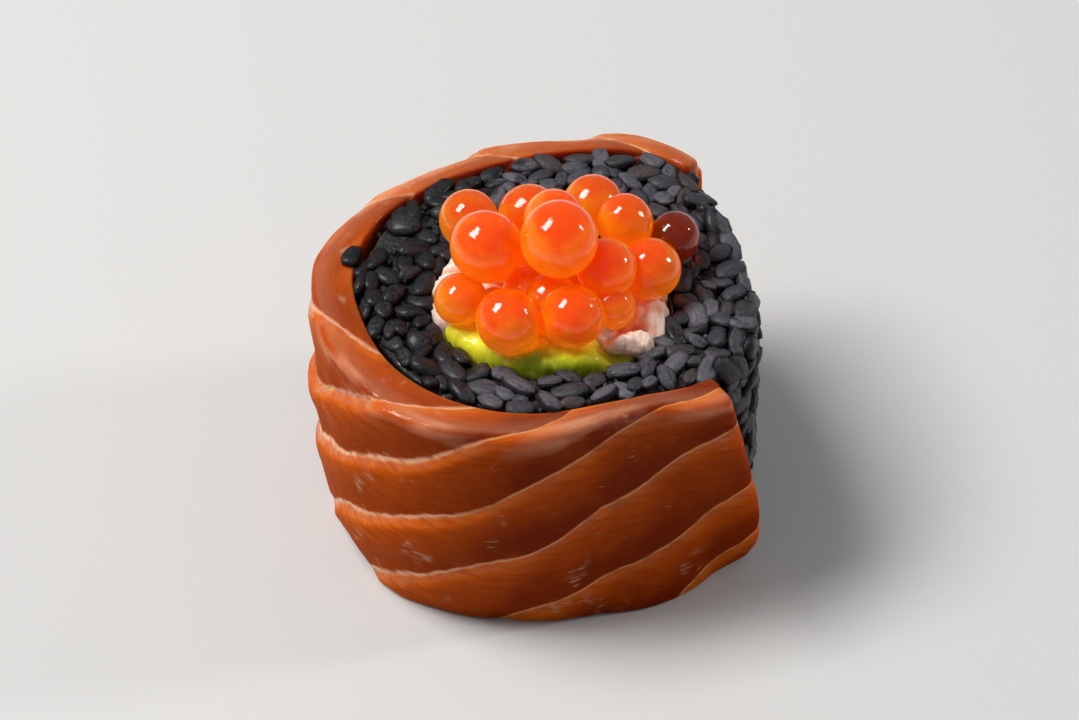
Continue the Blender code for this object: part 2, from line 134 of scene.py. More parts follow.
# Salmon roe in laying order: place in plan and radius
ROE = (
    (-7.4, 6.6, 3.3), (-0.6, 7.8, 3.4), (6.6, 9.9, 3.35), (-7.4, -6.2, 2.9), (-1.8, -10.1, 3.5),
    (5.3, -8.7, 3.45), (13.6, -0.4, 3.45), (16.05, 5.6, 2.85), (-3.3, 1.2, 3.0), (0.0, -4.3, 2.7),
    (3.2, 2.6, 2.0), (8.8, -3.4, 3.2), (7.9, 2.3, 2.1), (10.5, 5.55, 3.05), (2.6, 3.0, 3.4),
    (-4.7, -2.8, 3.95), (3.5, -3.7, 4.1),
)
HIDDEN_ROE = (
    (-3.6, -6.6, 2.2), (1.7, -7.2, 2.3), (9.6, -5.9, 2.6), (-5.6, 3.3, 2.2), (2.9, 6.3, 2.5),
    (12.2, 2.6, 2.2), (6.6, -0.4, 2.4), (-0.2, 2.6, 2.2), (9.6, -0.2, 2.6), (2.7, -5.8, 3.0),
)
TALL_EGGS = (4, 5, 13)
# The egg on the rice is painted darker, as painted shade
LONE_EGG = 7                    # the darker egg that lies on the rice
ROE_LIFT = 0.3
ROE_SQUASH = 0.94
EGG_SWELL = 1.05                # eggs are drawn a little larger, so that they press together
EGG_SEED = 23

AVOCADO_BACK = -7.5
AVOCADO_BACK_TURN = -3.9
NORI_THICKNESS = 0.35
NORI_SHORTFALL = 1.6            # how far the nori stops below the cut
BLOCK_ROWS = 40                 # rows of faces up the side of the avocado and the prawn
PRAWN_LUMPS = np.array((
    (-9.5, 3.5), (-9.8, -0.8), (-8.5, -4.0), (-3.0, 6.5), (4.0, 7.0), (10.5, 4.5), (13.6, 0.8),
    (13.2, -3.0), (9.4, -5.2), (11.2, -7.2), (3.5, 1.0), (-3.0, 0.0),
))

SKIN_COLUMNS = 120              # columns of the grid that the grains are strewn over
STEEP = 0.6                     # the rice's face counts as level above this upward share
GRAIN_HALF = np.array((2.05, 1.2, 0.65))
GRAIN_REACH = 4.8               # grains farther apart than this can't touch
GRAIN_POWERS = (1.7, 2.0, 2.5, 1.6, 2.2, 2.8, 2.0)      # how square each grain shape is
CRUMB = 6                       # the last of the grain shapes
# Grains that lie proud: place, height over the cut, turn, lean, share of the usual size
PROUD_GRAINS = ((-20.6, 3.2, 0.25, 75.0, 8.0, 0.95), (20.8, 11.6, -0.1, -52.0, 24.0, 1.25),
                (22.4, 8.2, -0.6, -70.0, 30.0, 1.05))

# The stage, in metres, but for the camera's place from the roll's axis
FLOOR_HALF = 2.5
FLOOR_GAP = 0.00002
LIGHT_AIM = 0.020               # the height that the lights face
LIGHT_DISTANCE = 0.8
CAMERA_PLACE = (26.9, -408.9, 420.1)


# ------------------------------------------------------------------ settings

def colour_property(name, description, default):
    return FloatVectorProperty(name=name, description=description, default=default, size=3,
                               min=0.0, max=1.0, subtype="COLOR")


class SalmonSettings(bpy.types.PropertyGroup):
    flesh: colour_property("Flesh", "Colour of the salmon's flesh", (0.45, 0.069, 0.003))
    # The bright flesh is painted light where a flake stands proud. The deep flesh is painted shade
    # low on a flake, and is also the colour of the darker fibres
    bright: colour_property("Bright flesh", "Colour just under a line of fat", (0.60, 0.122, 0.008))
    deep: colour_property("Deep flesh", "Colour low on a flake", (0.18, 0.017, 0.001))
    fat: colour_property("Fat", "Colour of the lines between the flakes", (0.78, 0.40, 0.23))
    seam: colour_property("Seam", "Colour of the thin lines on the front", (0.74, 0.31, 0.11))
    # This colour also paints the paler band along the cut's outer edge, partly as a painted
    # highlight
    frost: colour_property("Sheen", "Colour of the silvery patches", (0.52, 0.29, 0.17))
    step: FloatProperty(name="Flake step", description="How far one flake stands over the next",
                        default=1.2, min=0.0, max=2.0, subtype="FACTOR")
    columns: IntProperty(name="Columns", description="Columns of faces along the strip",
                         default=350, min=40, max=420)


class RiceSettings(bpy.types.PropertyGroup):
    grain: colour_property("Grain", "Colour of most grains", (0.036, 0.036, 0.043))
    pale_grain: colour_property("Pale grain", "Colour of the palest grains", (0.112, 0.108, 0.126))
    brown_grain: colour_property("Brown grain", "Colour of brown grains", (0.066, 0.050, 0.046))
    # The ink colour is also painted shade: it darkens the rice core and the sides of the grains,
    # where shade falls between them
    ink: colour_property("Ink", "Colour deep between the grains", (0.004, 0.004, 0.005))
    length: FloatProperty(name="Grain length", description="Length of a grain", default=0.0041,
                          min=0.001, unit="LENGTH")
    width: FloatProperty(name="Grain width", description="Width of a grain", default=0.0024,
                         min=0.001, unit="LENGTH")
    thickness: FloatProperty(name="Grain thickness", description="Thickness of a grain",
                             default=0.0013, min=0.0005, unit="LENGTH")
    seed: IntProperty(name="Seed", description="Draw for how the grains lie", default=7)


class NoriSettings(bpy.types.PropertyGroup):
    sheet: colour_property("Nori", "Colour of the seaweed sheet", (0.010, 0.016, 0.009))
    thin: colour_property("Thin nori", "Colour where the sheet is thin", (0.026, 0.0416, 0.0234))
    ripple: FloatProperty(name="Ripple", description="How far the sheet waves in and out",
                          default=0.0003, min=0.0, unit="LENGTH")


class FillingSettings(bpy.types.PropertyGroup):
    avocado: colour_property("Avocado", "Colour of the avocado's flesh", (0.80, 0.72, 0.03))
    avocado_edge: colour_property("Avocado edge", "Colour near its skin", (0.30, 0.38, 0.008))
    avocado_cream: colour_property("Avocado cream", "Colour of its palest part", (0.88, 0.80, 0.12))
    prawn: colour_property("Prawn", "Colour of the prawn's meat", (0.96, 0.67, 0.55))
    prawn_skin: colour_property("Prawn skin", "Colour of the prawn's red skin", (0.80, 0.22, 0.05))


class RoeSettings(bpy.types.PropertyGroup):
    egg: colour_property("Egg", "Colour of the eggs", (1.0, 0.28, 0.009))
    oil: colour_property("Oil", "Colour of the oil near the top of an egg", (0.95, 0.11, 0.003))
    # The colour of the painted light that each egg gathers at its bottom
    glow: colour_property("Glow", "Colour of the lower part of an egg", (1.0, 0.42, 0.014))
    # The egg on the rice is a darker copy of the oil colour, as painted shade
    lone: colour_property("Lone egg", "Colour of the egg on the rice", (0.589, 0.0605, 0.0015))
    inner_light: colour_property("Inner light", "Colour of light in the heap", (1.0, 0.22, 0.006))
    detail: IntProperty(name="Detail", description="Subdivisions of an egg", default=4, min=2,
                        max=5)


class StageSettings(bpy.types.PropertyGroup):
    floor: colour_property("Floor", "Colour of the plain floor", (0.60, 0.59, 0.575))
    lens: FloatProperty(name="Lens", description="Focal length of the camera in millimetres",
                        default=166.0, min=50.0)
    key: FloatProperty(name="Key light", description="Power of the key light", default=7.6, min=0.0,
                       unit="POWER")
    fill: FloatProperty(name="Fill light", description="Power of the light from the right",
                        default=1.6, min=0.0, unit="POWER")
    sky: FloatProperty(name="Room light", description="Brightness of the room", default=0.22,
                       min=0.0)


# ------------------------------------------------------------------ shape rules

def smoothstep(value):
    value = np.clip(value, 0.0, 1.0)
    return value * value * (3.0 - 2.0 * value)


def through(knots, values, places, period=0.0):
    """A smooth curve through knots, read at places."""
    if period:
        knots = np.concatenate((knots - period, knots, knots + period))
        values = np.tile(values, 3)
    slopes = np.gradient(values, knots)
    slopes[1:-1] = (values[2:] - values[:-2]) / (knots[2:] - knots[:-2])
    i = np.clip(np.searchsorted(knots, places, side="right") - 1, 0, len(knots) - 2)
    span = knots[i + 1] - knots[i]
    t = (places - knots[i]) / span
    return ((2 * t**3 - 3 * t**2 + 1) * values[i] + (t**3 - 2 * t**2 + t) * span * slopes[i]
            + (3 * t**2 - 2 * t**3) * values[i + 1] + (t**3 - t**2) * span * slopes[i + 1])


def station(angles, column):
    return through(STATIONS[:, 0], STATIONS[:, column], np.mod(angles, 360.0), period=360.0)


def rice_radius(angles, heights):
    foot = np.clip(1.0 - heights / FOOT_HEIGHT, 0.0, 1.0) ** 2
    return station(angles, 1) - station(angles, 3) * foot


def strip_limits(heights):
    """The angles at which the salmon strip starts and ends at a height."""
    share = np.clip(heights / CUT_HEIGHT, 0.0, 1.0)
    start = STRIP_START[1] + (STRIP_START[0] - STRIP_START[1]) * share
    end = STRIP_END[1] + (STRIP_END[0] - STRIP_END[1]) * share
    return start, end


def around(angles, radii, heights):
    turn = np.radians(angles)
    return np.stack((radii * np.cos(turn), radii * np.sin(turn), heights * np.ones_like(turn)),
                    axis=-1)


def strip_frame(angles, heights):
    """Points on the salmon's inner face, and the level direction square to it."""
    step = 0.5
    before = around(angles - step, rice_radius(angles - step, heights), heights)
    after = around(angles + step, rice_radius(angles + step, heights), heights)
    along = after - before
    along /= np.linalg.norm(along, axis=-1, keepdims=True)
    outward = np.stack((along[..., 1], -along[..., 0], np.zeros_like(angles)), axis=-1)
    return around(angles, rice_radius(angles, heights), heights), outward


def strip_thickness(angles, heights):
    to_end = np.radians(strip_limits(heights)[1] - angles) * rice_radius(angles, heights)
    return station(angles, 2) + END_FLARE * smoothstep(1.0 - to_end / END_FLARE_REACH)


def run_of(angles):
    return np.radians(angles) * RUN_RADIUS


def flake_place(angles, heights, depths):
    """Which flake a point is in, counted up from the foot, with its share of the way up it."""
    level = heights + FAT_SLANT * depths - through(FAT_CLIMB[:, 0], FAT_CLIMB[:, 1], angles)
    run = run_of(angles)
    level = (level + 0.45 * np.sin(run / 5.3 + 0.21 * level)
             + 0.25 * np.sin(run / 2.1 - 0.33 * level))
    i = np.clip(np.searchsorted(FAT_LINES, level, side="right") - 1, 0, len(FAT_LINES) - 2)
    return i + (level - FAT_LINES[i]) / (FAT_LINES[i + 1] - FAT_LINES[i])


def on_oval(angles, outward=0.0):
    turn = np.radians(angles)
    return np.stack((OVAL_CENTRE[0] + (OVAL_HALF[0] + outward) * np.cos(turn),
                     OVAL_CENTRE[1] + (OVAL_HALF[1] + outward) * np.sin(turn)), axis=-1)


def egg_places():
    """The middle and radius of every egg, each dropped onto what lies below it."""
    placed = []
    for x, y, radius in ROE:
        z = CUT_HEIGHT + ROE_LIFT + radius
        for other_x, other_y, other_z, other_radius in placed:
            apart = math.hypot(x - other_x, y - other_y)
            reach = (radius + other_radius) * ROE_SQUASH
            if apart < reach:
                z = max(z, other_z + math.sqrt(reach**2 - apart**2))
        placed.append((x, y, z, radius))
    return placed + [(x, y, CUT_HEIGHT + ROE_LIFT + radius, radius) for x, y, radius in HIDDEN_ROE]


def ripples(points, size, seed=0.0, detail=1):
    """Smooth bumps of about a size over points, from -1 to 1."""
    shift = Vector((seed * 17.3, seed * 7.1, seed * 3.7))
    flat = points.reshape(-1, 3) / size
    if detail > 1:
        values = [noise.fractal(Vector(p) + shift, 0.6, 2.0, detail) for p in flat]
    else:
        values = [noise.noise(Vector(p) + shift) for p in flat]
    return np.array(values).reshape(points.shape[:-1])


# ------------------------------------------------------------------ mesh helpers

def grid_faces(rows, columns, close_rows=False, close_columns=False):
    """Faces of a grid of corners that are numbered row by row."""
    index = np.arange(rows * columns).reshape(rows, columns)
    if close_rows:
        index = np.vstack((index, index[:1]))
    if close_columns:
        index = np.hstack((index, index[:, :1]))
    return np.stack((index[:-1, :-1], index[:-1, 1:], index[1:, 1:], index[1:, :-1]),
                    axis=-1).reshape(-1, 4).tolist()


def mesh_object(name, points, faces, attributes=()):
    """A mesh object from points in millimetres about the roll's axis, facing outwards."""
    points = (np.asarray(points, float).reshape(-1, 3) + AXIS) * MM
    mesh = bpy.data.meshes.new(name)
    mesh.from_pydata(points.tolist(), [], faces)
    for label, kind, values in attributes:
        attribute = mesh.attributes.new(label, kind, "POINT")
        key = "vector" if kind == "FLOAT_VECTOR" else "value"
        attribute.data.foreach_set(key, np.asarray(values, np.float32).ravel())
    mesh.update()
    if faces:
        mesh.calc_loop_triangles()
        corners = np.array([triangle.vertices for triangle in mesh.loop_triangles])
        a, b, c = (points[corners[:, i]] for i in range(3))
        if np.einsum("ij,ij->i", a, np.cross(b, c)).sum() < 0.0:
            mesh.flip_normals()
        mesh.shade_smooth()
    obj = bpy.data.objects.new(name, mesh)
    bpy.context.scene.collection.objects.link(obj)
    return obj


def dress(obj, material, node=None):
    """Give a piece its material, and let it ride on the model and stand for a node."""
    obj.data.materials.clear()
    obj.data.materials.append(material)
    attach(obj, "root")
    if node:
        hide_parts(node)


# ------------------------------------------------------------------ node helpers

class Wire:
    """A value in a node tree. What is done with it adds nodes to the tree."""

    def __init__(self, owner, socket):
        self.owner = owner
        self.socket = socket

    def math(self, operation, *others):
        return self.owner.add("ShaderNodeMath", self, *others, operation=operation)

    def __add__(self, other):
        return self.math("ADD", other)

    def __sub__(self, other):
        return self.math("SUBTRACT", other)

    def __rsub__(self, other):
        return self.owner.add("ShaderNodeMath", other, self, operation="SUBTRACT")

    def __mul__(self, other):
        return self.math("MULTIPLY", other)

    def __truediv__(self, other):
        return self.math("DIVIDE", other)

    def parts(self):
        """A vector's X, Y and Z."""
        return [Wire(self.owner, socket)
                for socket in self.owner.node("ShaderNodeSeparateXYZ", self).outputs]

    def stretch(self, scale, turn=0.0):
        """A vector scaled along X, Y and Z, then turned about Z."""
        return self.owner.add("ShaderNodeMapping", self, inputs={
            "Rotation": (0.0, 0.0, math.radians(turn)), "Scale": scale})

    def noise(self, size, detail=2.0, roughness=0.5):
        """Noise whose lumps are about a size across, in the vector's own unit."""
        return self.owner.add("ShaderNodeTexNoise", self, inputs={
            "Scale": 1.0 / size, "Detail": detail, "Roughness": roughness})

    def cells(self, size):
        """How far a place is from the middle of its cell, over the cells' size."""
        return self.owner.add("ShaderNodeTexVoronoi", self, inputs={"Scale": 1.0 / size})

    def fade(self, low, high, at_low=0.0, at_high=1.0):
        """A smooth change from one value to another between two limits."""
        return self.owner.add("ShaderNodeMapRange", self, low, high, at_low, at_high,
                              interpolation_type="SMOOTHSTEP")

    def blend(self, first, second):
        """The first colour, with this share of the second over it."""
        colours = [value if isinstance(value, Wire) else (*value, 1.0) for value in (first, second)]
        # The node's two colours are its inputs 6 and 7, and their mix is its output 2
        return self.owner.add("ShaderNodeMix", self, *[None] * 5, *colours, output=2,
                              data_type="RGBA", clamp_factor=True)

    def bump(self, depth, normal=None):
        """The way a surface faces when this raises it by up to a depth."""
        return self.owner.add("ShaderNodeBump",
                              inputs={"Distance": depth * MM, "Height": self, "Normal": normal})


class NodeTree:
    """A node tree, with short ways of adding to it."""

    def __init__(self, tree):
        self.tree = tree

    def put(self, socket, value):
        if isinstance(value, Wire):
            self.tree.links.new(value.socket, socket)
        elif value is not None:
            socket.default_value = value

    def node(self, kind, *values, inputs=None, **settings):
        """A node with its inputs linked or set in order or by name, and its settings by name."""
        node = self.tree.nodes.new(kind)
        for name, value in settings.items():
            setattr(node, name, value)
        for socket, value in zip(node.inputs, values):
            self.put(socket, value)
        for name, value in (inputs or {}).items():
            self.put(node.inputs[name], value)
        return node

    def add(self, kind, *values, output=0, **settings):
        """What comes out of a new node."""
        return Wire(self, self.node(kind, *values, **settings).outputs[output])

    def vector_math(self, operation, *values):
        return self.add("ShaderNodeVectorMath", *values, operation=operation)


class Finish(NodeTree):
    """A material made of nodes."""

    def __init__(self, name, **values):
        self.material = bpy.data.materials.new(name)
        self.material.use_nodes = True
        super().__init__(self.material.node_tree)
        self.set(**values)

    def set(self, **values):
        """Link or set the shader's inputs by name, and give the material back."""
        shader = self.tree.nodes["Principled BSDF"]
        for name, value in values.items():
            self.put(shader.inputs[name.replace("_", " ")], value)
        return self.material

    def place(self):
        """Where a point is on the object, in millimetres."""
        return self.add("ShaderNodeTexCoord", output="Object").stretch((1.0 / MM,) * 3)

    def attribute(self, name, output="Fac"):
        return self.add("ShaderNodeAttribute", output=output, attribute_name=name)


class Growth(NodeTree):
    """A Geometry Nodes tree with named inputs, whose result becomes a plain mesh."""

    def __init__(self, name, **inputs):
        super().__init__(bpy.data.node_groups.new(name, "GeometryNodeTree"))
        interface = self.tree.interface
        for way in ("INPUT", "OUTPUT"):
            interface.new_socket(name="Geometry", in_out=way, socket_type="NodeSocketGeometry")
        self.names = {}
        self.values = {}
        for key, (kind, value) in inputs.items():
            socket = interface.new_socket(name=key.replace("_", " ").capitalize(), in_out="INPUT",
                                          socket_type="NodeSocket" + kind)
            self.names[key] = socket.name
            self.values[socket.identifier] = value
        self.start = self.tree.nodes.new("NodeGroupInput")
        self.end = self.tree.nodes.new("NodeGroupOutput")

    def given(self, key="geometry"):
        return Wire(self, self.start.outputs[self.names.get(key, "Geometry")])

    def named(self, name, kind="FLOAT_VECTOR"):
        """What each point carries under a name."""
        return self.add("GeometryNodeInputNamedAttribute", name, data_type=kind)

    def finish(self, geometry):
        real = self.add("GeometryNodeRealizeInstances", geometry)
        dressed = self.add("GeometryNodeSetMaterial", real,
                           inputs={"Material": self.given("material")})
        self.put(self.end.inputs["Geometry"], dressed)

    def grow(self, obj):
        """Run the tree on an object and keep the result as its mesh."""
        modifier = obj.modifiers.new(self.tree.name, "NODES")
        modifier.node_group = self.tree
        for identifier, value in self.values.items():
            modifier[identifier] = value
        graph = bpy.context.evaluated_depsgraph_get()
        mesh = bpy.data.meshes.new_from_object(obj.evaluated_get(graph), depsgraph=graph,
                                               preserve_all_data_layers=True)
        obj.modifiers.remove(modifier)
        if not mesh.polygons:
            raise RuntimeError(f"the tree {self.tree.name} made no faces")
        obj.data = mesh


# ------------------------------------------------------------------ salmon

def strip_side(top_corner, foot_corner):
    """Half of the strip's section, from the middle of its foot up to the middle of its top.

    For each point, its height, how far in from the face it lies, and its share of the
    flat part that is left between there and the middle.
    """
    turns = np.radians((30.0, 60.0, 90.0))
    flat = (0.0, 0.12, 0.3, 0.5, 0.75, 1.0)
    points = [(0.0, foot_corner, share) for share in reversed(flat)]
    points += [(foot_corner * (1.0 - math.cos(turn)), foot_corner * (1.0 - math.sin(turn)), 0.0)
               for turn in turns]
    points += [(height, 0.0, 0.0)
               for height in np.linspace(foot_corner, CUT_HEIGHT - top_corner, STRIP_ROWS)[1:]]
    points += [(CUT_HEIGHT - top_corner + top_corner * math.sin(turn),
                top_corner * (1.0 - math.cos(turn)), 0.0) for turn in turns]
    points += [(CUT_HEIGHT, top_corner, share) for share in flat[1:]]
    return np.array(points).T


def strip_columns(count):
    """Where the strip's columns stand along it, and how thick each is for its rounded ends."""
    turns = np.array((0.0, 0.3, 0.5, 0.66, 0.79, 0.88, 0.94, 0.975, 0.99))
    width = (1.0 - turns**END_POWER) ** (1 / END_POWER)
    rounding = END_ROUNDING / STRIP_LENGTH
    shares = np.linspace(0.0, 1.0, count)[1:-1]
    shares = shares[(shares > rounding * 1.2) & (shares < 1.0 - rounding * 1.2)]
    widths = np.concatenate((width[::-1], np.ones(len(shares)), width))
    starts, ends = rounding * (1.0 - turns[::-1]), 1.0 - rounding * (1.0 - turns)
    return np.concatenate((starts, shares, ends)), widths


def flake_relief(flakes, angles):
    """Each flake stands proudest under its upper edge, least so at the front on the right."""
    share = flakes % 1.0
    swell = smoothstep(share / 0.82) * (1.0 - smoothstep((share - 0.84) / 0.16))
    step = FLAKE_STEPS[np.clip(flakes.astype(int) + 1, 0, len(FLAKE_STEPS) - 1)]
    calm = smoothstep((angles - 235.0) / 50.0)
    return (swell - 0.4) * step * (1.0 - 0.7 * calm)


def strip_half(settings, outer):
    """The outer or the inner half of the strip, column by column, and what its points carry."""
    column_shares, column_widths = (values[:, None] for values in strip_columns(settings.columns))
    top_corner, foot_corner = OUTER_CORNERS if outer else INNER_CORNERS
    heights, insets, flat_shares = strip_side(top_corner, foot_corner)
    heights = np.broadcast_to(heights, (len(column_shares), len(heights)))
    start, end = strip_limits(heights)
    angles = start + (end - start) * column_shares
    thickness = strip_thickness(angles, heights)
    corner = np.where(heights > CUT_HEIGHT / 2, top_corner, foot_corner)
    inset = insets + flat_shares * (thickness / 2 - corner)
    depth = inset if outer else thickness - inset
    flakes = flake_place(angles, heights, depth)
    inner, outward = strip_frame(angles, heights)
    offset = thickness - depth
    if outer:
        skin = inner + outward * offset[..., None]
        relief = flake_relief(flakes, angles) * settings.step
        relief = relief + 0.30 * ripples(skin * (1.0, 1.0, 1.4), 9.0, seed=1)
        relief = relief + 0.10 * ripples(skin, 2.8, seed=2, detail=2)
        offset = offset + relief * smoothstep(1.0 - inset / 1.6)
    offset = thickness / 2 + (offset - thickness / 2) * column_widths
    points = inner + outward * offset[..., None]
    end_drop = (1.0 - column_widths) * 0.9
    points[..., 2] -= end_drop * np.clip((heights - CUT_HEIGHT + 3.0) / 3.0, 0.0, 1.0)
    on_top = smoothstep((heights - CUT_HEIGHT + 0.3) / 0.3) * smoothstep(inset / 0.8)
    groove = np.exp(-((((flakes + 0.5) % 1.0) - 0.5) / 0.05) ** 2)
    waves = ripples(points, 3.2, seed=3, detail=2)
    points[..., 2] += on_top * (0.16 * waves - 0.12 * groove - 0.05)
    return points, flakes, np.stack((run_of(angles), heights, depth), axis=-1)


def build_salmon(settings):
    outer, inner = strip_half(settings, True), strip_half(settings, False)
    points, flakes, strip = (np.concatenate((outside, inside[:, -2:0:-1]), axis=1)
                             for outside, inside in zip(outer, inner))
    rows, count = flakes.shape
    faces = grid_faces(rows, count, close_columns=True)
    for row in (0, rows - 1):
        first = row * count
        for i in range(outer[1].shape[1] - 1):
            mates = [first + i, first + i + 1, first + (count - i - 1) % count,
                     first + (count - i) % count]
            corners = list(dict.fromkeys(mates))
            faces.append(corners[::-1] if row == 0 else corners)
    obj = mesh_object("salmon_strip", points, faces, (("flake", "FLOAT", flakes),
                                                     ("strip", "FLOAT_VECTOR", strip)))
    dress(obj, salmon_finish(settings), "salmon_wrap")


def salmon_finish(settings):
    finish = Finish("salmon_flesh", Subsurface_Weight=0.7, Subsurface_Scale=0.005,
                    Subsurface_Radius=(1.0, 0.28, 0.06), Coat_Roughness=0.12, IOR=1.4,
                    Specular_IOR_Level=0.0)
    place = finish.place()
    strip = finish.attribute("strip", "Vector")
    run, height, depth = strip.parts()
    round_back = run.fade(*FRONT_RUN, 1.0, 0.0)

    flake = finish.attribute("flake") + (place.noise(2.4, 1.5) - 0.5) * 0.05
    share = flake.math("FRACT")
    from_line = ((flake + 0.5).math("FRACT") - 0.5).math("ABSOLUTE")

    # Painted light and shade: the flesh is painted brightest just under a line, where its flake
    # stands proud, and darker towards the lower edge of its flake, where it sinks in
    patch = place.noise(6.0, 3.0)
    tone = share.fade(0.12, 1.0) + patch.fade(0.3, 0.7, -0.18, 0.15)
    tone = 1.0 - (1.0 - tone) * round_back.fade(0.0, 1.0, 1.0, 0.55)
    colour = tone.blend(settings.deep, settings.flesh)
    # Painted light where each flake stands proudest, just under a line
    glow = share.fade(0.74, 0.97) * patch.fade(0.3, 0.7, 0.4, 0.9)
    colour = glow.blend(colour, settings.bright)

    # Muscle fibres and scratches run slantwise across a flake
    fibre = strip.stretch((0.22, 1.3, 0.8), 34.0).noise(1.0, 3.0, 0.6)
    colour = fibre.fade(0.58, 0.30, 0.0, 0.34).blend(colour, settings.deep)
    scratch = strip.stretch((0.55, 5.0, 2.0), 42.0).noise(1.0).fade(0.60, 0.72)
    scratch = scratch * place.noise(3.4).fade(0.60, 0.68) * 0.35
    colour = scratch.blend(colour, settings.fat)

    # Silvery patches, a pale film under the cut edge, and a paler band along the cut's outer edge,
    # partly paler cut flesh and partly a painted highlight on its rounded corner
    streak = strip.stretch((0.5, 2.2, 1.2), -14.0).noise(1.0, 4.0, 0.65)
    frost = place.noise(4.2).fade(0.62, 0.74) * streak.fade(0.45, 0.62) * 0.6
    colour = frost.blend(colour, settings.frost)
    film = strip.stretch((0.5, 1.2, 1.0)).noise(4.0).fade(0.40, 0.70)
    film = height.fade(CUT_HEIGHT - 4.5, CUT_HEIGHT - 0.5) * film * depth.fade(1.6, 0.9, 0.0, 0.45)
    colour = film.blend(colour, settings.fat)
    # Partly paler cut flesh, partly a painted highlight along the rounded outer edge
    cut_flesh_and_highlight = depth.fade(0.2, 0.9) * depth.fade(3.4, 0.9, 0.03, 0.22)
    colour = cut_flesh_and_highlight.blend(colour, settings.frost)

    # Fat between the flakes, wide and broken round the left, a thin seam at the front
    wide = strip.stretch((0.30, 1.0, 1.0)).noise(1.0, 3.0).fade(0.32, 0.68, 0.002, 0.028)
    line = 1.0 - (from_line / (round_back * wide + 0.019)).fade(0.0, 1.6)
    broken = strip.stretch((0.25, 0.8, 0.8)).noise(1.0, 1.0).fade(0.32, 0.56, 0.35, 1.0)
    fat = round_back.blend(settings.seam, settings.fat)
    colour = (line * broken * 0.8).blend(colour, fat)

    # Ledges and the cut edge are the wettest
    ledge = share.fade(0.86, 0.92).math("MAXIMUM", share.fade(0.04, 0.01))
    ledge = ledge * round_back.fade(0.0, 1.0, 0.3, 0.6)
    ledge = ledge.math("MAXIMUM", height.fade(CUT_HEIGHT - 1.6, CUT_HEIGHT - 0.6, 0.0, 0.32))
    damp = place.noise(1.4).fade(0.38, 0.62, 0.4, 1.0)
    beads = place.cells(0.45).fade(0.0, 0.45, 1.0, 0.0) * place.noise(1.7).fade(0.52, 0.62)
    ridges = strip.stretch((0.8, 1.6, 1.6), 30.0).noise(1.0, 3.0)
    return finish.set(Base_Color=colour, Roughness=place.noise(0.9, 3.0).fade(0.3, 0.7, 0.30, 0.50),
                      Coat_Weight=ledge * damp + 0.06,
                      Normal=beads.bump(0.04, ridges.bump(0.16, fibre.bump(0.24))))


# ------------------------------------------------------------------ rice

def rice_skin(inset):
    """A grid over the rice, up from the hole, out over the top, down the side and back in."""
    angles = np.arange(SKIN_COLUMNS) * 360.0 / SKIN_COLUMNS
    start, end = strip_limits(CUT_HEIGHT / 2)
    past_end = np.where(angles > 180.0, angles - end, start - angles)
    open_side = smoothstep((past_end + 2.0) / 6.0)
    shoulder = (0.4 + 1.8 * open_side)[:, None]
    foot = (0.3 + 0.9 * open_side)[:, None]
    top = CUT_HEIGHT - inset
    angles = angles[:, None]
    hole = on_oval(angles, inset * 0.3)

    def at_hole(height):
        return np.concatenate((hole, np.full(hole.shape[:-1] + (1,), height)), axis=-1)

    def on_side(height, drawn_in=0.0):
        return around(angles, rice_radius(angles, height) - inset - drawn_in, height)

    rim = around(angles, rice_radius(angles, CUT_HEIGHT) - inset - shoulder, top)
    rows = [at_hole(top) + (rim - at_hole(top)) * share for share in np.linspace(0.0, 1.0, 8)]
    rows += [on_side(top - shoulder * (1.0 - math.cos(turn)), shoulder * (1.0 - math.sin(turn)))
             for turn in np.radians((25.0, 50.0, 72.0, 90.0))]
    rows += [on_side((top - shoulder) + (foot + inset - top + shoulder) * share)
             for share in np.linspace(0.0, 1.0, 16)[1:]]
    rows += [on_side(inset + foot * (1.0 - math.sin(turn)), foot * (1.0 - math.cos(turn)))
             for turn in np.radians((45.0, 90.0))]
    heel = rows[-1]
    rows += [heel + (at_hole(inset) - heel) * share for share in np.linspace(0.0, 1.0, 8)[1:]]
    return np.concatenate(rows, axis=1)


def bearing(point):
    """The angle round the roll's axis at which a point lies."""
    return math.degrees(math.atan2(point[1], point[0])) % 360.0


def strip_covers(point, reach):
    """Whether a point on the rice's side lies under the strip, or nearer to it than a reach."""
    start, end = strip_limits(point[2])
    margin = math.degrees(reach / math.hypot(point[0], point[1]))
    return start - margin < bearing(point) < end + margin


def in_filling(point, reach):
    away = (point[:2] - OVAL_CENTRE[:2]) / (OVAL_HALF + reach)
    return away.dot(away) < 1.0


def skin_draws(draw, skin, count):
    """Points drawn evenly over a skin, each with the direction square to it."""
    skin = np.vstack((skin, skin[:1]))
    a, b, c, d = skin[:-1, :-1], skin[:-1, 1:], skin[1:, 1:], skin[1:, :-1]
    normals = np.cross(c - a, b - d).reshape(-1, 3)
    areas = np.linalg.norm(normals, axis=1)
    normals /= areas[:, None]
    a, b, c, d = (corner.reshape(-1, 3) for corner in (a, b, c, d))
    middles = (a + b + c + d) / 4.0
    if np.mean(normals[middles[:, 2] > CUT_HEIGHT - 2.0][:, 2]) < 0.0:
        normals = -normals
    for i in draw.choices(range(len(areas)), weights=areas.tolist(), k=count):
        u, v = draw.random(), draw.random()
        yield (a[i] * (1 - u) + b[i] * u) * (1 - v) + (d[i] * (1 - u) + c[i] * u) * v, normals[i]


def unit(vector):
    return vector / np.linalg.norm(vector)


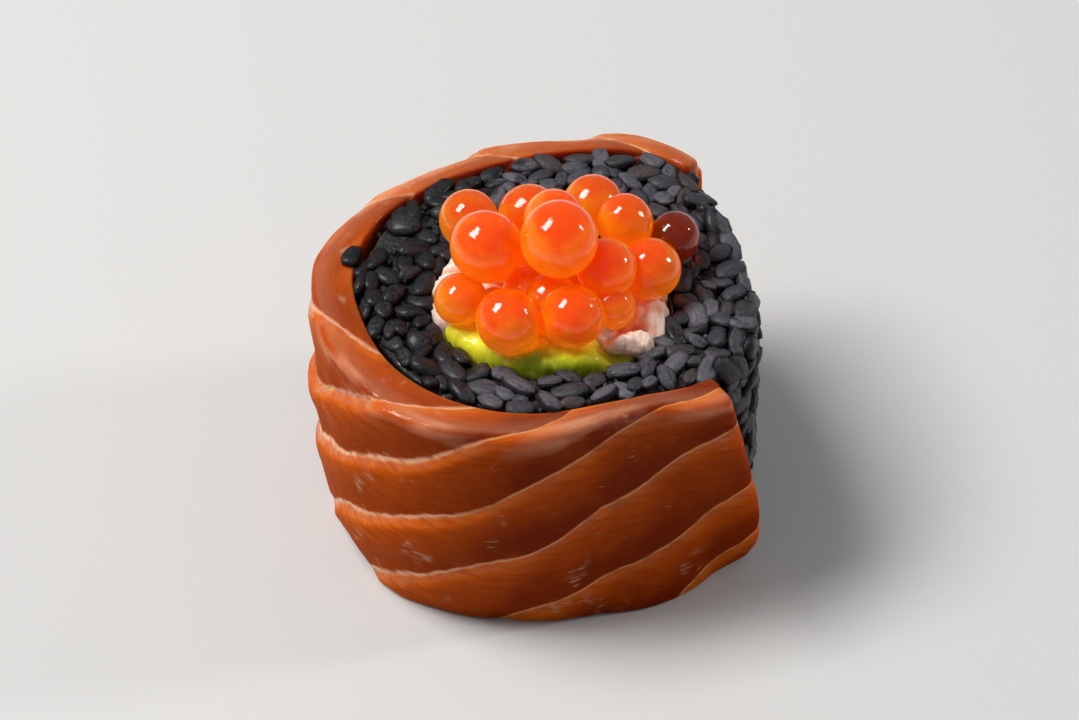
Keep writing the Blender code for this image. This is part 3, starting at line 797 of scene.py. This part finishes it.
def grain_facing(draw, normal, side, level):
    """A grain's directions: its length, the way across it, and its thin way along the normal."""
    spin = draw.gauss(0.0, 0.8) if level else draw.uniform(0.0, math.pi)
    first = side if level else np.cross(normal, side)
    first = unit(first - normal * first.dot(normal))
    length = first * math.cos(spin) + np.cross(normal, first) * math.sin(spin)
    length = unit(length + normal * draw.gauss(0.0, 0.13))
    thin = normal - length * normal.dot(length)
    thin = unit(thin + np.cross(length, thin) * draw.gauss(0.0, 0.22))
    return length, np.cross(thin, length), thin


def out_of_bounds(point, reach, level):
    """Whether a grain would stick into the strip or the filling."""
    if not level:
        return strip_covers(point, reach - 0.5)
    limit = rice_radius(bearing(point), point[2]) + 0.25
    past_rice = math.hypot(point[0], point[1]) + reach > limit
    return (strip_covers(point, 1.0) and past_rice
            or in_filling(point, reach * (0.45 if point[1] < -8.0 else 0.1) - 0.2))


def crowded(point, facing, size, laid, overlap):
    """Whether a grain would overlap one that is laid by more than a share."""
    if not laid:
        return False
    away = np.array([place for place, _, _ in laid]) - point
    gap = np.linalg.norm(away, axis=1)
    near = np.flatnonzero(gap < GRAIN_REACH)
    if not len(near):
        return False
    gap = gap[near]
    way = away[near] / gap[:, None]
    facings = np.array([laid[i][1] for i in near])
    sizes = np.array([laid[i][2] for i in near])
    own = 1.0 / np.linalg.norm((way @ facing) / size, axis=1)
    theirs = 1.0 / np.linalg.norm(np.einsum("ij,ijk->ik", way, facings) / sizes, axis=1)
    return (gap < overlap * (own + theirs)).any()


def lay_grains(draw, skin, tries, overlap, size_spread):
    """Grains strewn over a skin, none overlapping the others by more than a share."""
    laid = []
    for point, normal in skin_draws(draw, skin, tries):
        level = abs(normal[2]) > STEEP
        if not level and strip_covers(point, -0.5):
            continue
        if level and noise.noise(Vector(point) / 3.6) > 0.38 + 0.012 * point[0]:
            continue
        scale = 1.0 + draw.uniform(-size_spread, size_spread)
        spread = (draw.uniform(0.85, 1.15), draw.uniform(0.85, 1.15), 1.0)
        size = GRAIN_HALF * scale * np.array(spread)
        point = point + normal * draw.uniform(-0.35, 0.15)
        out = unit(np.array((point[0], point[1], 0.0)))
        side = np.array((-out[1], out[0], 0.0))
        length, across, thin = grain_facing(draw, normal, side, level)
        toward = out if level else side
        reach = math.sqrt((size[0] * length.dot(toward)) ** 2
                          + (size[1] * across.dot(toward)) ** 2)
        facing = np.stack((length, across, thin), axis=1)
        if not (out_of_bounds(point, reach, level)
                or crowded(point, facing, size, laid, overlap)):
            laid.append((point, facing, size))
    return laid


def lay_crumbs(draw, skin, tries):
    """Small broken bits between the grains."""
    laid = []
    for point, normal in skin_draws(draw, skin, tries):
        if in_filling(point, 0.4) or strip_covers(point, 0.3) and (
                abs(normal[2]) < STEEP
                or math.hypot(point[0], point[1]) > rice_radius(bearing(point), point[2]) - 0.3):
            continue
        facing = np.array(Euler([draw.uniform(0.0, 6.0) for _ in range(3)]).to_matrix())
        size = np.array([draw.uniform(0.2, 0.5) for _ in range(3)])
        laid.append((point + normal * draw.uniform(-0.3, 0.3), facing, size))
    return laid


def grain_shape(kind):
    """A rounded grain along X, one millimetre in half length, width and thickness."""
    draw = random.Random(40 + kind)
    power = GRAIN_POWERS[kind]
    shape = bmesh.new()
    bmesh.ops.create_icosphere(shape, subdivisions=1 if kind == CRUMB else 2, radius=1.0)
    lean, bow = draw.uniform(-0.2, 0.2), draw.uniform(-0.16, 0.16)
    for vert in shape.verts:
        x, y, z = vert.co
        level = math.hypot(x, y)
        if level > 1e-6:
            stretch = level / (abs(x) ** power + abs(y) ** power) ** (1.0 / power)
            stretch = (1.0 + (stretch - 1.0) * level) * draw.uniform(0.86, 1.1)
            x, y = x * stretch, y * stretch
        y = y * (1.0 - lean * x) + bow * (x * x - 0.4)
        vert.co = (x, y, math.copysign(abs(z) ** 0.55, z) * draw.uniform(0.85, 1.0))
    mesh = bpy.data.meshes.new("grain")
    shape.to_mesh(mesh)
    shape.free()
    local = mesh.attributes.new("grain", "FLOAT_VECTOR", "POINT")
    local.data.foreach_set("vector", [value for vert in mesh.vertices for value in vert.co])
    mesh.shade_smooth()
    return bpy.data.objects.new("grain_%d" % kind, mesh)


def build_rice_core(settings):
    skin = rice_skin(0.95)
    lumps = ripples(skin, 1.6, seed=5, detail=2)
    skin[..., 2] = np.clip(skin[..., 2] + 0.25 * lumps, 0.3, CUT_HEIGHT)
    skin[..., :2] *= (1.0 + 0.008 * lumps)[..., None]
    faces = grid_faces(*skin.shape[:2], close_rows=True, close_columns=True)
    core = mesh_object("rice_core", skin, faces)
    dress(core, ink_and_shade_finish(settings), "black_rice")


def build_rice_grains(settings):
    draw = random.Random(settings.seed)
    grains = lay_grains(draw, rice_skin(1.4), tries=6000, overlap=0.80, size_spread=0.15)
    grains += lay_grains(draw, rice_skin(0.35), tries=30000, overlap=0.68, size_spread=0.2)
    for x, y, z, turn, lean, size in PROUD_GRAINS:
        facing = np.array(Euler((0.0, math.radians(lean), math.radians(turn))).to_matrix())
        grains.append((np.array((x, y, CUT_HEIGHT + z)), facing, GRAIN_HALF * size))
    whole = len(grains)
    grains += lay_crumbs(draw, rice_skin(0.75), tries=3000)
    turns = [Matrix(facing.tolist()).to_euler() for _, facing, _ in grains]
    tones = [draw.random() for _ in grains]
    kinds = [draw.randrange(CRUMB) if i < whole else CRUMB for i in range(len(grains))]
    obj = mesh_object("rice_grains", [place for place, _, _ in grains], [], (
        ("turn", "FLOAT_VECTOR", turns), ("tone", "FLOAT", tones), ("kind", "FLOAT", kinds),
        ("size", "FLOAT_VECTOR", np.array([size for _, _, size in grains]) / GRAIN_HALF)))

    shapes = bpy.data.collections.new("grain_shapes")
    for kind in range(CRUMB + 1):
        shapes.objects.link(grain_shape(kind))
    finish = grain_finish(settings)
    growth = Growth("strewn_grains", length=("Float", settings.length),
                    width=("Float", settings.width), thickness=("Float", settings.thickness),
                    grains=("Collection", shapes), material=("Material", finish))
    cloud = growth.add("GeometryNodeMeshToPoints", growth.given())
    kinds = growth.add("GeometryNodeCollectionInfo", growth.given("grains"), inputs={
        "Separate Children": True, "Reset Children": True})
    half = growth.add("ShaderNodeCombineXYZ", *(growth.given(key) * 0.5
                                                for key in ("length", "width", "thickness")))
    strewn = growth.add("GeometryNodeInstanceOnPoints", cloud, inputs={
        "Instance": kinds, "Pick Instance": True, "Instance Index": growth.named("kind", "FLOAT"),
        "Rotation": growth.named("turn"),
        "Scale": growth.vector_math("MULTIPLY", growth.named("size"), half)})
    real = growth.add("GeometryNodeRealizeInstances", strewn)
    place = growth.add("GeometryNodeInputPosition")
    above_ground = growth.vector_math("MAXIMUM", place, (-1.0, -1.0, 0.0))
    growth.finish(growth.add("GeometryNodeSetPosition", real, inputs={"Position": above_ground}))
    growth.grow(obj)
    for shape in list(shapes.objects):
        bpy.data.meshes.remove(shape.data)
    bpy.data.collections.remove(shapes)
    dress(obj, finish)


def grain_finish(settings):
    finish = Finish("black_rice_grain", Coat_Roughness=0.2, Specular_IOR_Level=0.2)
    place = finish.place()
    grain = finish.attribute("grain", "Vector")
    streak = finish.vector_math("ADD", grain.stretch((0.7, 4.0, 4.0)), place.stretch((0.15,) * 3))
    streak = streak.noise(1.0, 3.0, 0.6)
    speck = place.noise(0.7, 3.0, 0.6)
    lean = finish.attribute("tone") + streak.fade(0.3, 0.7, -0.2, 0.2)
    colour = lean.fade(0.3, 1.2).blend(settings.grain, settings.pale_grain)
    colour = lean.fade(0.25, -0.1).blend(colour, settings.brown_grain)
    # The sides of each grain darken towards the ink colour: partly ink, partly painted shade
    # between the packed grains
    face = grain.parts()[2].math("ABSOLUTE")
    colour = face.fade(0.72, 0.26, 0.0, 0.9).blend(colour, settings.ink)

    # Inky starch smears the grains at random, and painted shade darkens them towards the left
    inked_and_shaded = place.noise(3.5, 3.0, 0.6) - place.parts()[0].fade(0.0, -14.0, 0.0, 0.42)
    inked_and_shaded = speck.fade(0.45, 0.36, 0.0, 0.35) + inked_and_shaded.fade(0.42, 0.30, 0.0, 0.8)
    normal = place.noise(0.25, 3.0, 0.6).bump(0.08, speck.bump(0.18, streak.bump(0.12)))
    return finish.set(Base_Color=inked_and_shaded.blend(colour, settings.ink), Coat_Weight=inked_and_shaded * 0.12 + 0.06,
                      Roughness=speck.fade(0.35, 0.65, 0.36, 0.62), Normal=normal)


# The core shows only deep between the grains; its near-black is partly ink and partly painted shade
def ink_and_shade_finish(settings):
    finish = Finish("rice_ink", Coat_Weight=0.5, Coat_Roughness=0.12)
    crumb = finish.place().noise(0.5, 4.0, 0.7)
    return finish.set(Base_Color=crumb.fade(0.5, 0.75).blend(settings.ink, settings.grain),
                      Roughness=crumb.fade(0.3, 0.7, 0.2, 0.5), Normal=crumb.bump(0.35))


# ------------------------------------------------------------------ nori

def build_nori(settings):
    finish = nori_finish(settings)
    obj = mesh_object("nori_sheet", np.zeros((1, 3)), [])
    half_length, half_depth = (OVAL_HALF - NORI_THICKNESS / 2) * MM
    growth = Growth("nori_oval", half_length=("Float", half_length),
                    half_depth=("Float", half_depth),
                    height=("Float", (CUT_HEIGHT - NORI_SHORTFALL) * MM),
                    ripple=("Float", settings.ripple), seed=("Int", 3),
                    material=("Material", finish))
    grid = growth.add("GeometryNodeMeshGrid", inputs={
        "Size X": 1.0, "Size Y": 1.0, "Vertices X": 260, "Vertices Y": 26})
    along, up, _ = growth.add("GeometryNodeInputPosition").parts()
    turn = along * (2.0 * math.pi)
    rolled = growth.add("ShaderNodeCombineXYZ", turn.math("COSINE") * growth.given("half_length"),
                        turn.math("SINE") * growth.given("half_depth"),
                        (up + 0.5) * growth.given("height"))
    sheet = growth.add("GeometryNodeSetPosition", grid, inputs={"Position": rolled})
    sheet = growth.add("GeometryNodeMergeByDistance", sheet, inputs={"Distance": 0.00001})
    waves = growth.add("ShaderNodeTexNoise", noise_dimensions="4D",
                       inputs={"W": growth.given("seed"), "Scale": 190.0})
    away = (waves - 0.55) * (growth.given("ripple") * 3.0)
    level = growth.vector_math("MULTIPLY", growth.add("GeometryNodeInputNormal"), (1.0, 1.0, 0.0))
    waved = growth.add("ShaderNodeVectorMath", level, operation="SCALE", inputs={"Scale": away})
    growth.finish(growth.add("GeometryNodeSetPosition", sheet, inputs={"Offset": waved}))
    growth.grow(obj)

    obj.data.transform(Matrix.Translation(Vector((OVAL_CENTRE + AXIS).tolist()) * MM))
    shape = bmesh.new()
    shape.from_mesh(obj.data)
    bmesh.ops.remove_doubles(shape, verts=shape.verts, dist=1e-6)
    bmesh.ops.recalc_face_normals(shape, faces=shape.faces)
    bmesh.ops.solidify(shape, geom=shape.faces[:], thickness=NORI_THICKNESS * MM)
    bmesh.ops.recalc_face_normals(shape, faces=shape.faces)
    for vert in shape.verts:
        vert.co.z = min(max(vert.co.z, 0.0), (CUT_HEIGHT + 0.1) * MM)
    shape.to_mesh(obj.data)
    shape.free()
    dress(obj, finish, "nori")


def nori_finish(settings):
    finish = Finish("nori_sheet", Coat_Weight=0.25, Coat_Roughness=0.25)
    weave = finish.place().stretch((1.0, 1.0, 0.25)).noise(0.5, 4.0, 0.7)
    return finish.set(Base_Color=weave.fade(0.35, 0.7).blend(settings.sheet, settings.thin),
                      Roughness=weave.fade(0.3, 0.7, 0.35, 0.6), Normal=weave.bump(0.08))


# ------------------------------------------------------------------ filling

def filling_outline(front, count, passes):
    """The filling's half of the oval, in front of or behind the avocado's back."""
    turn = math.radians(AVOCADO_BACK_TURN)
    side = np.array((-math.sin(turn), math.cos(turn)))
    level = side.dot((0.0, AVOCADO_BACK))
    dense = on_oval(np.linspace(0.0, 360.0, 2881)[:-1], -NORI_THICKNESS - 0.25)
    keep = (dense @ side < level - 0.15) if front else (dense @ side > level + 0.15)
    first = np.flatnonzero(keep & ~np.roll(keep, 1))[0]
    arc = np.roll(dense, -first, axis=0)[:keep.sum()]
    corners = np.vstack((arc, arc[:1]))
    lengths = np.concatenate(((0.0,), np.cumsum(np.linalg.norm(np.diff(corners, axis=0), axis=1))))
    spots = np.linspace(0.0, lengths[-1], count + 1)[:-1]
    outline = np.stack([np.interp(spots, lengths, corners[:, axis]) for axis in (0, 1)], axis=-1)
    for _ in range(passes):
        beside = np.roll(outline, 1, axis=0) + np.roll(outline, -1, axis=0)
        outline = outline * 0.5 + beside * 0.25
    return outline


def filling_block(outline, edge, rings):
    """A block that stands on an outline, with rounded edges and rings over its two ends."""
    middle = outline.mean(axis=0)
    radius = np.linalg.norm(outline - middle, axis=1)

    def end_levels(height, way):
        flat = [(share * (1.0 - edge / radius), height) for share in np.linspace(0.03, 1.0, rings)]
        return flat + [(1.0 - edge / radius * (1.0 - math.sin(turn)),
                        height - way * edge * (1.0 - math.cos(turn)))
                       for turn in np.radians(np.linspace(0.0, 90.0, 6))[1:]]

    levels = end_levels(0.0, -1.0)
    levels += [(np.ones_like(radius), height)
               for height in np.linspace(edge, CUT_HEIGHT - edge, BLOCK_ROWS)[1:-1]]
    levels += end_levels(CUT_HEIGHT, 1.0)[::-1]
    sections = []
    for scale, height in levels:
        plan = middle + (outline - middle) * np.reshape(scale, (-1, 1))
        sections.append(np.column_stack((plan, np.full(len(plan), height))))
    return np.array(sections)


def block_object(name, points, attributes=()):
    """A block's mesh, closed at both ends and cut off at the ground."""
    points[..., 2] = np.clip(points[..., 2], 0.0, None)
    rows, columns = points.shape[:2]
    faces = grid_faces(rows, columns, close_columns=True)
    faces.append(list(range(columns))[::-1])
    faces.append(list(range((rows - 1) * columns, rows * columns)))
    return mesh_object(name, points, faces, attributes)


def build_avocado(settings):
    outline = filling_outline(front=True, count=220, passes=60)
    points = filling_block(outline, edge=1.3, rings=16)
    top = smoothstep((points[..., 2] - CUT_HEIGHT + 3.0) / 3.0)
    grooves = ripples(points * (1.0, 1.0, 0.25), 1.7, seed=8, detail=2)
    lumps = ripples(points, 3.4, seed=9, detail=2)
    small = ripples(points, 1.3, seed=10, detail=2)
    points[..., 2] += top * (0.6 * lumps + 0.25 * small + 0.9)
    points[..., 2] -= top * 2.2 * smoothstep((points[..., 0] - 7.0) / 4.0)
    points[..., 1] += 0.12 * grooves
    dress(block_object("avocado_slice", points), avocado_finish(settings), "avocado")


def avocado_finish(settings):
    finish = Finish("avocado_flesh", Subsurface_Weight=0.35, Subsurface_Scale=0.003,
                    Subsurface_Radius=(1.0, 0.9, 0.25), Coat_Weight=0.4, Coat_Roughness=0.15,
                    Specular_IOR_Level=0.05)
    place = finish.place()
    edge = float(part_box("avocado")[0].y / MM)
    near_skin = (place.parts()[1] + place.noise(2.5) * 1.6).fade(edge + 0.6, edge + 3.6, 1.0, 0.0)
    colour = near_skin.blend(settings.avocado, settings.avocado_edge)
    cream = place.noise(1.6, 3.0)
    colour = cream.fade(0.5, 0.75, 0.0, 0.5).blend(colour, settings.avocado_cream)
    grooves = place.stretch((1.0, 0.5, 0.3)).noise(0.45, 3.0)
    return finish.set(Base_Color=colour, Roughness=cream.fade(0.3, 0.7, 0.3, 0.5),
                      Normal=grooves.bump(0.12))


def build_prawn(settings):
    outline = filling_outline(front=False, count=320, passes=30)
    points = filling_block(outline, edge=1.5, rings=34)
    waver = np.stack((ripples(points, 2.5, seed=11), ripples(points, 2.5, seed=12)), axis=-1)
    plan = points[..., :2] + 0.7 * waver
    away = np.sort(np.linalg.norm(plan[..., None, :] - PRAWN_LUMPS, axis=-1), axis=-1)
    crease = away[..., 1] - away[..., 0]
    lump = smoothstep(crease / 1.8)
    top = smoothstep((points[..., 2] - CUT_HEIGHT + 4.0) / 4.0)
    rough = ripples(points, 1.5, seed=13, detail=3) + 0.5 * ripples(points, 0.7, seed=14)
    flaky = ripples(points, 0.8, seed=15, detail=2)
    points[..., 2] += top * (1.5 * lump - 0.6 + 0.35 * rough + 0.3 * flaky)
    out = points[..., :2] - outline.mean(axis=0)
    out /= np.maximum(np.linalg.norm(out, axis=-1, keepdims=True), 1e-6)
    points[..., :2] += out * (0.45 * (lump - 1.0) + 0.25 * flaky)[..., None]

    # At the front on the right the meat swells out over the rice
    forward = (smoothstep((points[..., 0] - 6.5) / 2.0) * smoothstep((-3.0 - points[..., 1]) / 3.0)
               * smoothstep((points[..., 2] - CUT_HEIGHT + 3.0) / 2.0))
    points[..., 1] -= 2.2 * forward
    points[..., 2] += 0.8 * forward
    obj = block_object("prawn_meat", points, (("crease", "FLOAT", crease),))
    dress(obj, prawn_finish(settings), "prawn")


def prawn_finish(settings):
    finish = Finish("prawn_meat", Subsurface_Weight=0.4, Subsurface_Scale=0.003,
                    Subsurface_Radius=(1.0, 0.6, 0.45), Coat_Weight=0.5, Coat_Roughness=0.18,
                    Specular_IOR_Level=0.1)
    place = finish.place()
    streak = place.stretch((1.0, 0.35, 0.35), 25.0).noise(0.6, 4.0, 0.65)
    colour = streak.fade(0.5, 0.72, 0.0, 0.28).blend(settings.prawn, settings.prawn_skin)
    skin = finish.attribute("crease").fade(1.5, 0.1) * place.noise(2.2).fade(0.34, 0.56) * 0.9
    return finish.set(Base_Color=skin.blend(colour, settings.prawn_skin),
                      Roughness=streak.fade(0.3, 0.7, 0.3, 0.5),
                      Normal=place.noise(0.5, 3.0, 0.6).bump(0.14, streak.bump(0.14)))


# ------------------------------------------------------------------ roe

def build_roe(settings):
    eggs = np.array(egg_places())
    draw = random.Random(EGG_SEED)
    tones = [1.0 if i == LONE_EGG else draw.uniform(0.0, 0.35) for i in range(len(eggs))]
    stretch = [(1.0 + draw.uniform(-0.03, 0.03), 1.0 + draw.uniform(-0.03, 0.03),
                1.09 if i in TALL_EGGS else 1.0 + draw.uniform(-0.03, 0.04))
               for i in range(len(eggs))]
    turns = [Euler((draw.uniform(-0.5, 0.35), draw.uniform(-0.4, 0.4), draw.uniform(0.0, 6.0)))
             for _ in eggs]
    sizes = eggs[:, 3:] * np.array(stretch) * MM * EGG_SWELL
    obj = mesh_object("salmon_roe", eggs[:, :3], [], (
        ("size", "FLOAT_VECTOR", sizes), ("tone", "FLOAT", tones), ("turn", "FLOAT_VECTOR", turns)))
    finish = roe_finish(settings)
    growth = Growth("heaped_eggs", detail=("Int", settings.detail), material=("Material", finish))
    cloud = growth.add("GeometryNodeMeshToPoints", growth.given())
    ball = growth.add("GeometryNodeMeshIcoSphere", inputs={
        "Radius": 1.0, "Subdivisions": growth.given("detail")})
    ball = growth.add("GeometryNodeSetShadeSmooth", ball)
    ball = growth.add("GeometryNodeStoreNamedAttribute", ball, data_type="FLOAT_VECTOR",
                      domain="POINT", inputs={
                          "Name": "egg", "Value": growth.add("GeometryNodeInputPosition")})
    growth.finish(growth.add("GeometryNodeInstanceOnPoints", cloud, inputs={
        "Instance": ball, "Rotation": growth.named("turn"), "Scale": growth.named("size")}))
    growth.grow(obj)
    obj.data.shade_smooth()
    dress(obj, finish, "roe")


def roe_finish(settings):
    finish = Finish("roe_egg", Roughness=0.05, IOR=1.35, Subsurface_Weight=1.0,
                    Subsurface_Scale=0.008, Subsurface_Radius=(1.0, 0.25, 0.02), Coat_Weight=0.6,
                    Coat_Roughness=0.02, Specular_IOR_Level=0.1,
                    Emission_Color=(*settings.inner_light, 1.0))
    place = finish.place()
    up = finish.attribute("egg", "Vector").parts()[2] + (place.noise(2.2) - 0.5) * 1.1
    tone = finish.attribute("tone")
    # Painted light: the lower part of each egg is painted brighter and yellower, for light it
    # gathers there
    colour = up.fade(-0.7, 0.4).blend(settings.glow, settings.egg)
    colour = up.fade(0.35, 0.95).blend(colour, settings.oil)
    normal = place.noise(1.3).bump(0.08)
    # Light that wanders about inside the heap
    inner_light = up.fade(-0.7, 0.8, 0.22, 0.05) * tone.fade(0.5, 1.0, 1.0, 0.0)
    # The egg on the rice is painted darker, as painted shade
    return finish.set(Base_Color=tone.fade(0.5, 1.0).blend(colour, settings.lone),
                      Transmission_Weight=tone.fade(0.5, 1.0, 0.5, 0.85),
                      Emission_Strength=inner_light, Normal=normal, Coat_Normal=normal)


# ------------------------------------------------------------------ stage

def area_light(name, direction, size, power, turn=0.0):
    """A soft light that faces the object, with its own width, height and turn."""
    light = bpy.data.lights.new(name, "AREA")
    light.shape = "RECTANGLE"
    light.size, light.size_y = size
    light.energy = power
    obj = bpy.data.objects.new(name, light)
    bpy.context.scene.collection.objects.link(obj)
    direction = Vector(direction).normalized()
    obj.location = Vector((0.0, 0.0, LIGHT_AIM)) + direction * LIGHT_DISTANCE
    facing = direction.to_track_quat("Z", "Y").to_matrix()
    obj.rotation_euler = (facing @ Matrix.Rotation(math.radians(turn), 3, "Z")).to_euler()


def build_stage(settings):
    scene = bpy.context.scene
    shape = bmesh.new()
    bmesh.ops.create_grid(shape, x_segments=2, y_segments=2, size=FLOOR_HALF)
    mesh = bpy.data.meshes.new("floor")
    shape.to_mesh(mesh)
    shape.free()
    floor = bpy.data.objects.new("floor", mesh)
    floor.location.z = -FLOOR_GAP
    scene.collection.objects.link(floor)
    mesh.materials.append(Finish("plain_floor", Base_Color=(*settings.floor, 1.0),
                                 Roughness=0.75).material)

    world = bpy.data.worlds.new("studio")
    scene.world = world
    world.use_nodes = True
    background = world.node_tree.nodes["Background"]
    background.inputs["Color"].default_value = (0.95, 0.97, 1.0, 1.0)
    background.inputs["Strength"].default_value = settings.sky
    area_light("key_light", (-0.53, 0.0, 0.845), (0.26, 0.46), settings.key, 40.0)
    area_light("right_light", (0.88, 0.2, 0.43), (0.10, 0.18), settings.fill)

    camera = bpy.data.cameras.new("camera")
    camera.sensor_width = 36.0
    camera.lens = settings.lens
    camera.clip_start = 0.01
    camera.clip_end = 20.0
    view = bpy.data.objects.new("camera", camera)
    scene.collection.objects.link(view)
    eye = Vector(CAMERA_PLACE) * MM + Vector(AXIS.tolist()) * MM
    low, high = (Vector(corner) for corner in cad_box)
    aim = Vector(((low.x + high.x) / 2, (low.y + high.y) / 2, high.z * 0.42))
    view.location = eye
    view.rotation_euler = (aim - eye).to_track_quat("-Z", "Y").to_euler()
    scene.camera = view
    scene.view_settings.view_transform = "Standard"


# ------------------------------------------------------------------ the add-on

class SUSHI_OT_salmon(bpy.types.Operator):
    """Wrap the flaked salmon strip round the rice"""
    bl_idname = "sushi.salmon"
    bl_label = "Salmon strip"

    def execute(self, context):
        build_salmon(context.scene.sushi_salmon)
        return {"FINISHED"}


class SUSHI_OT_rice(bpy.types.Operator):
    """Strew black rice over its near-black core of ink and painted shade"""
    bl_idname = "sushi.rice"
    bl_label = "Black rice"

    def execute(self, context):
        build_rice_core(context.scene.sushi_rice)
        build_rice_grains(context.scene.sushi_rice)
        return {"FINISHED"}


class SUSHI_OT_nori(bpy.types.Operator):
    """Stand the nori round the filling"""
    bl_idname = "sushi.nori"
    bl_label = "Nori"

    def execute(self, context):
        build_nori(context.scene.sushi_nori)
        return {"FINISHED"}


class SUSHI_OT_avocado(bpy.types.Operator):
    """Put the avocado in the front of the filling"""
    bl_idname = "sushi.avocado"
    bl_label = "Avocado"

    def execute(self, context):
        build_avocado(context.scene.sushi_filling)
        return {"FINISHED"}


class SUSHI_OT_prawn(bpy.types.Operator):
    """Put the prawn behind the avocado"""
    bl_idname = "sushi.prawn"
    bl_label = "Prawn"

    def execute(self, context):
        build_prawn(context.scene.sushi_filling)
        return {"FINISHED"}


class SUSHI_OT_roe(bpy.types.Operator):
    """Heap the salmon roe on the filling"""
    bl_idname = "sushi.roe"
    bl_label = "Salmon roe"

    def execute(self, context):
        build_roe(context.scene.sushi_roe)
        return {"FINISHED"}


class SUSHI_OT_stage(bpy.types.Operator):
    """Set the floor, the lights and the camera"""
    bl_idname = "sushi.stage"
    bl_label = "Stage"

    def execute(self, context):
        build_stage(context.scene.sushi_stage)
        return {"FINISHED"}


SETTINGS = {
    "sushi_salmon": SalmonSettings, "sushi_rice": RiceSettings, "sushi_nori": NoriSettings,
    "sushi_filling": FillingSettings, "sushi_roe": RoeSettings, "sushi_stage": StageSettings,
}
OPERATORS = (SUSHI_OT_salmon, SUSHI_OT_rice, SUSHI_OT_nori, SUSHI_OT_avocado, SUSHI_OT_prawn,
             SUSHI_OT_roe, SUSHI_OT_stage)


class SUSHI_PT_pieces(bpy.types.Panel):
    """The pieces of the roll and what can be changed about them"""
    bl_idname = "SUSHI_PT_pieces"
    bl_label = "Sushi roll piece"
    bl_space_type = "VIEW_3D"
    bl_region_type = "UI"
    bl_category = "Sushi"

    def draw(self, context):
        for operator in OPERATORS:
            self.layout.operator(operator.bl_idname)
        for name, group in SETTINGS.items():
            box = self.layout.box()
            for key in group.__annotations__:
                box.prop(getattr(context.scene, name), key)


def register():
    for name, group in SETTINGS.items():
        bpy.utils.register_class(group)
        setattr(bpy.types.Scene, name, PointerProperty(type=group))
    for operator in OPERATORS:
        bpy.utils.register_class(operator)
    bpy.utils.register_class(SUSHI_PT_pieces)


def unregister():
    bpy.utils.unregister_class(SUSHI_PT_pieces)
    for operator in reversed(OPERATORS):
        bpy.utils.unregister_class(operator)
    for name, group in SETTINGS.items():
        delattr(bpy.types.Scene, name)
        bpy.utils.unregister_class(group)


def main():
    register()
    bpy.ops.sushi.salmon()
    bpy.ops.sushi.rice()
    bpy.ops.sushi.nori()
    bpy.ops.sushi.avocado()
    bpy.ops.sushi.prawn()
    bpy.ops.sushi.roe()
    bpy.ops.sushi.stage()


if __name__ == "__main__":
    main()
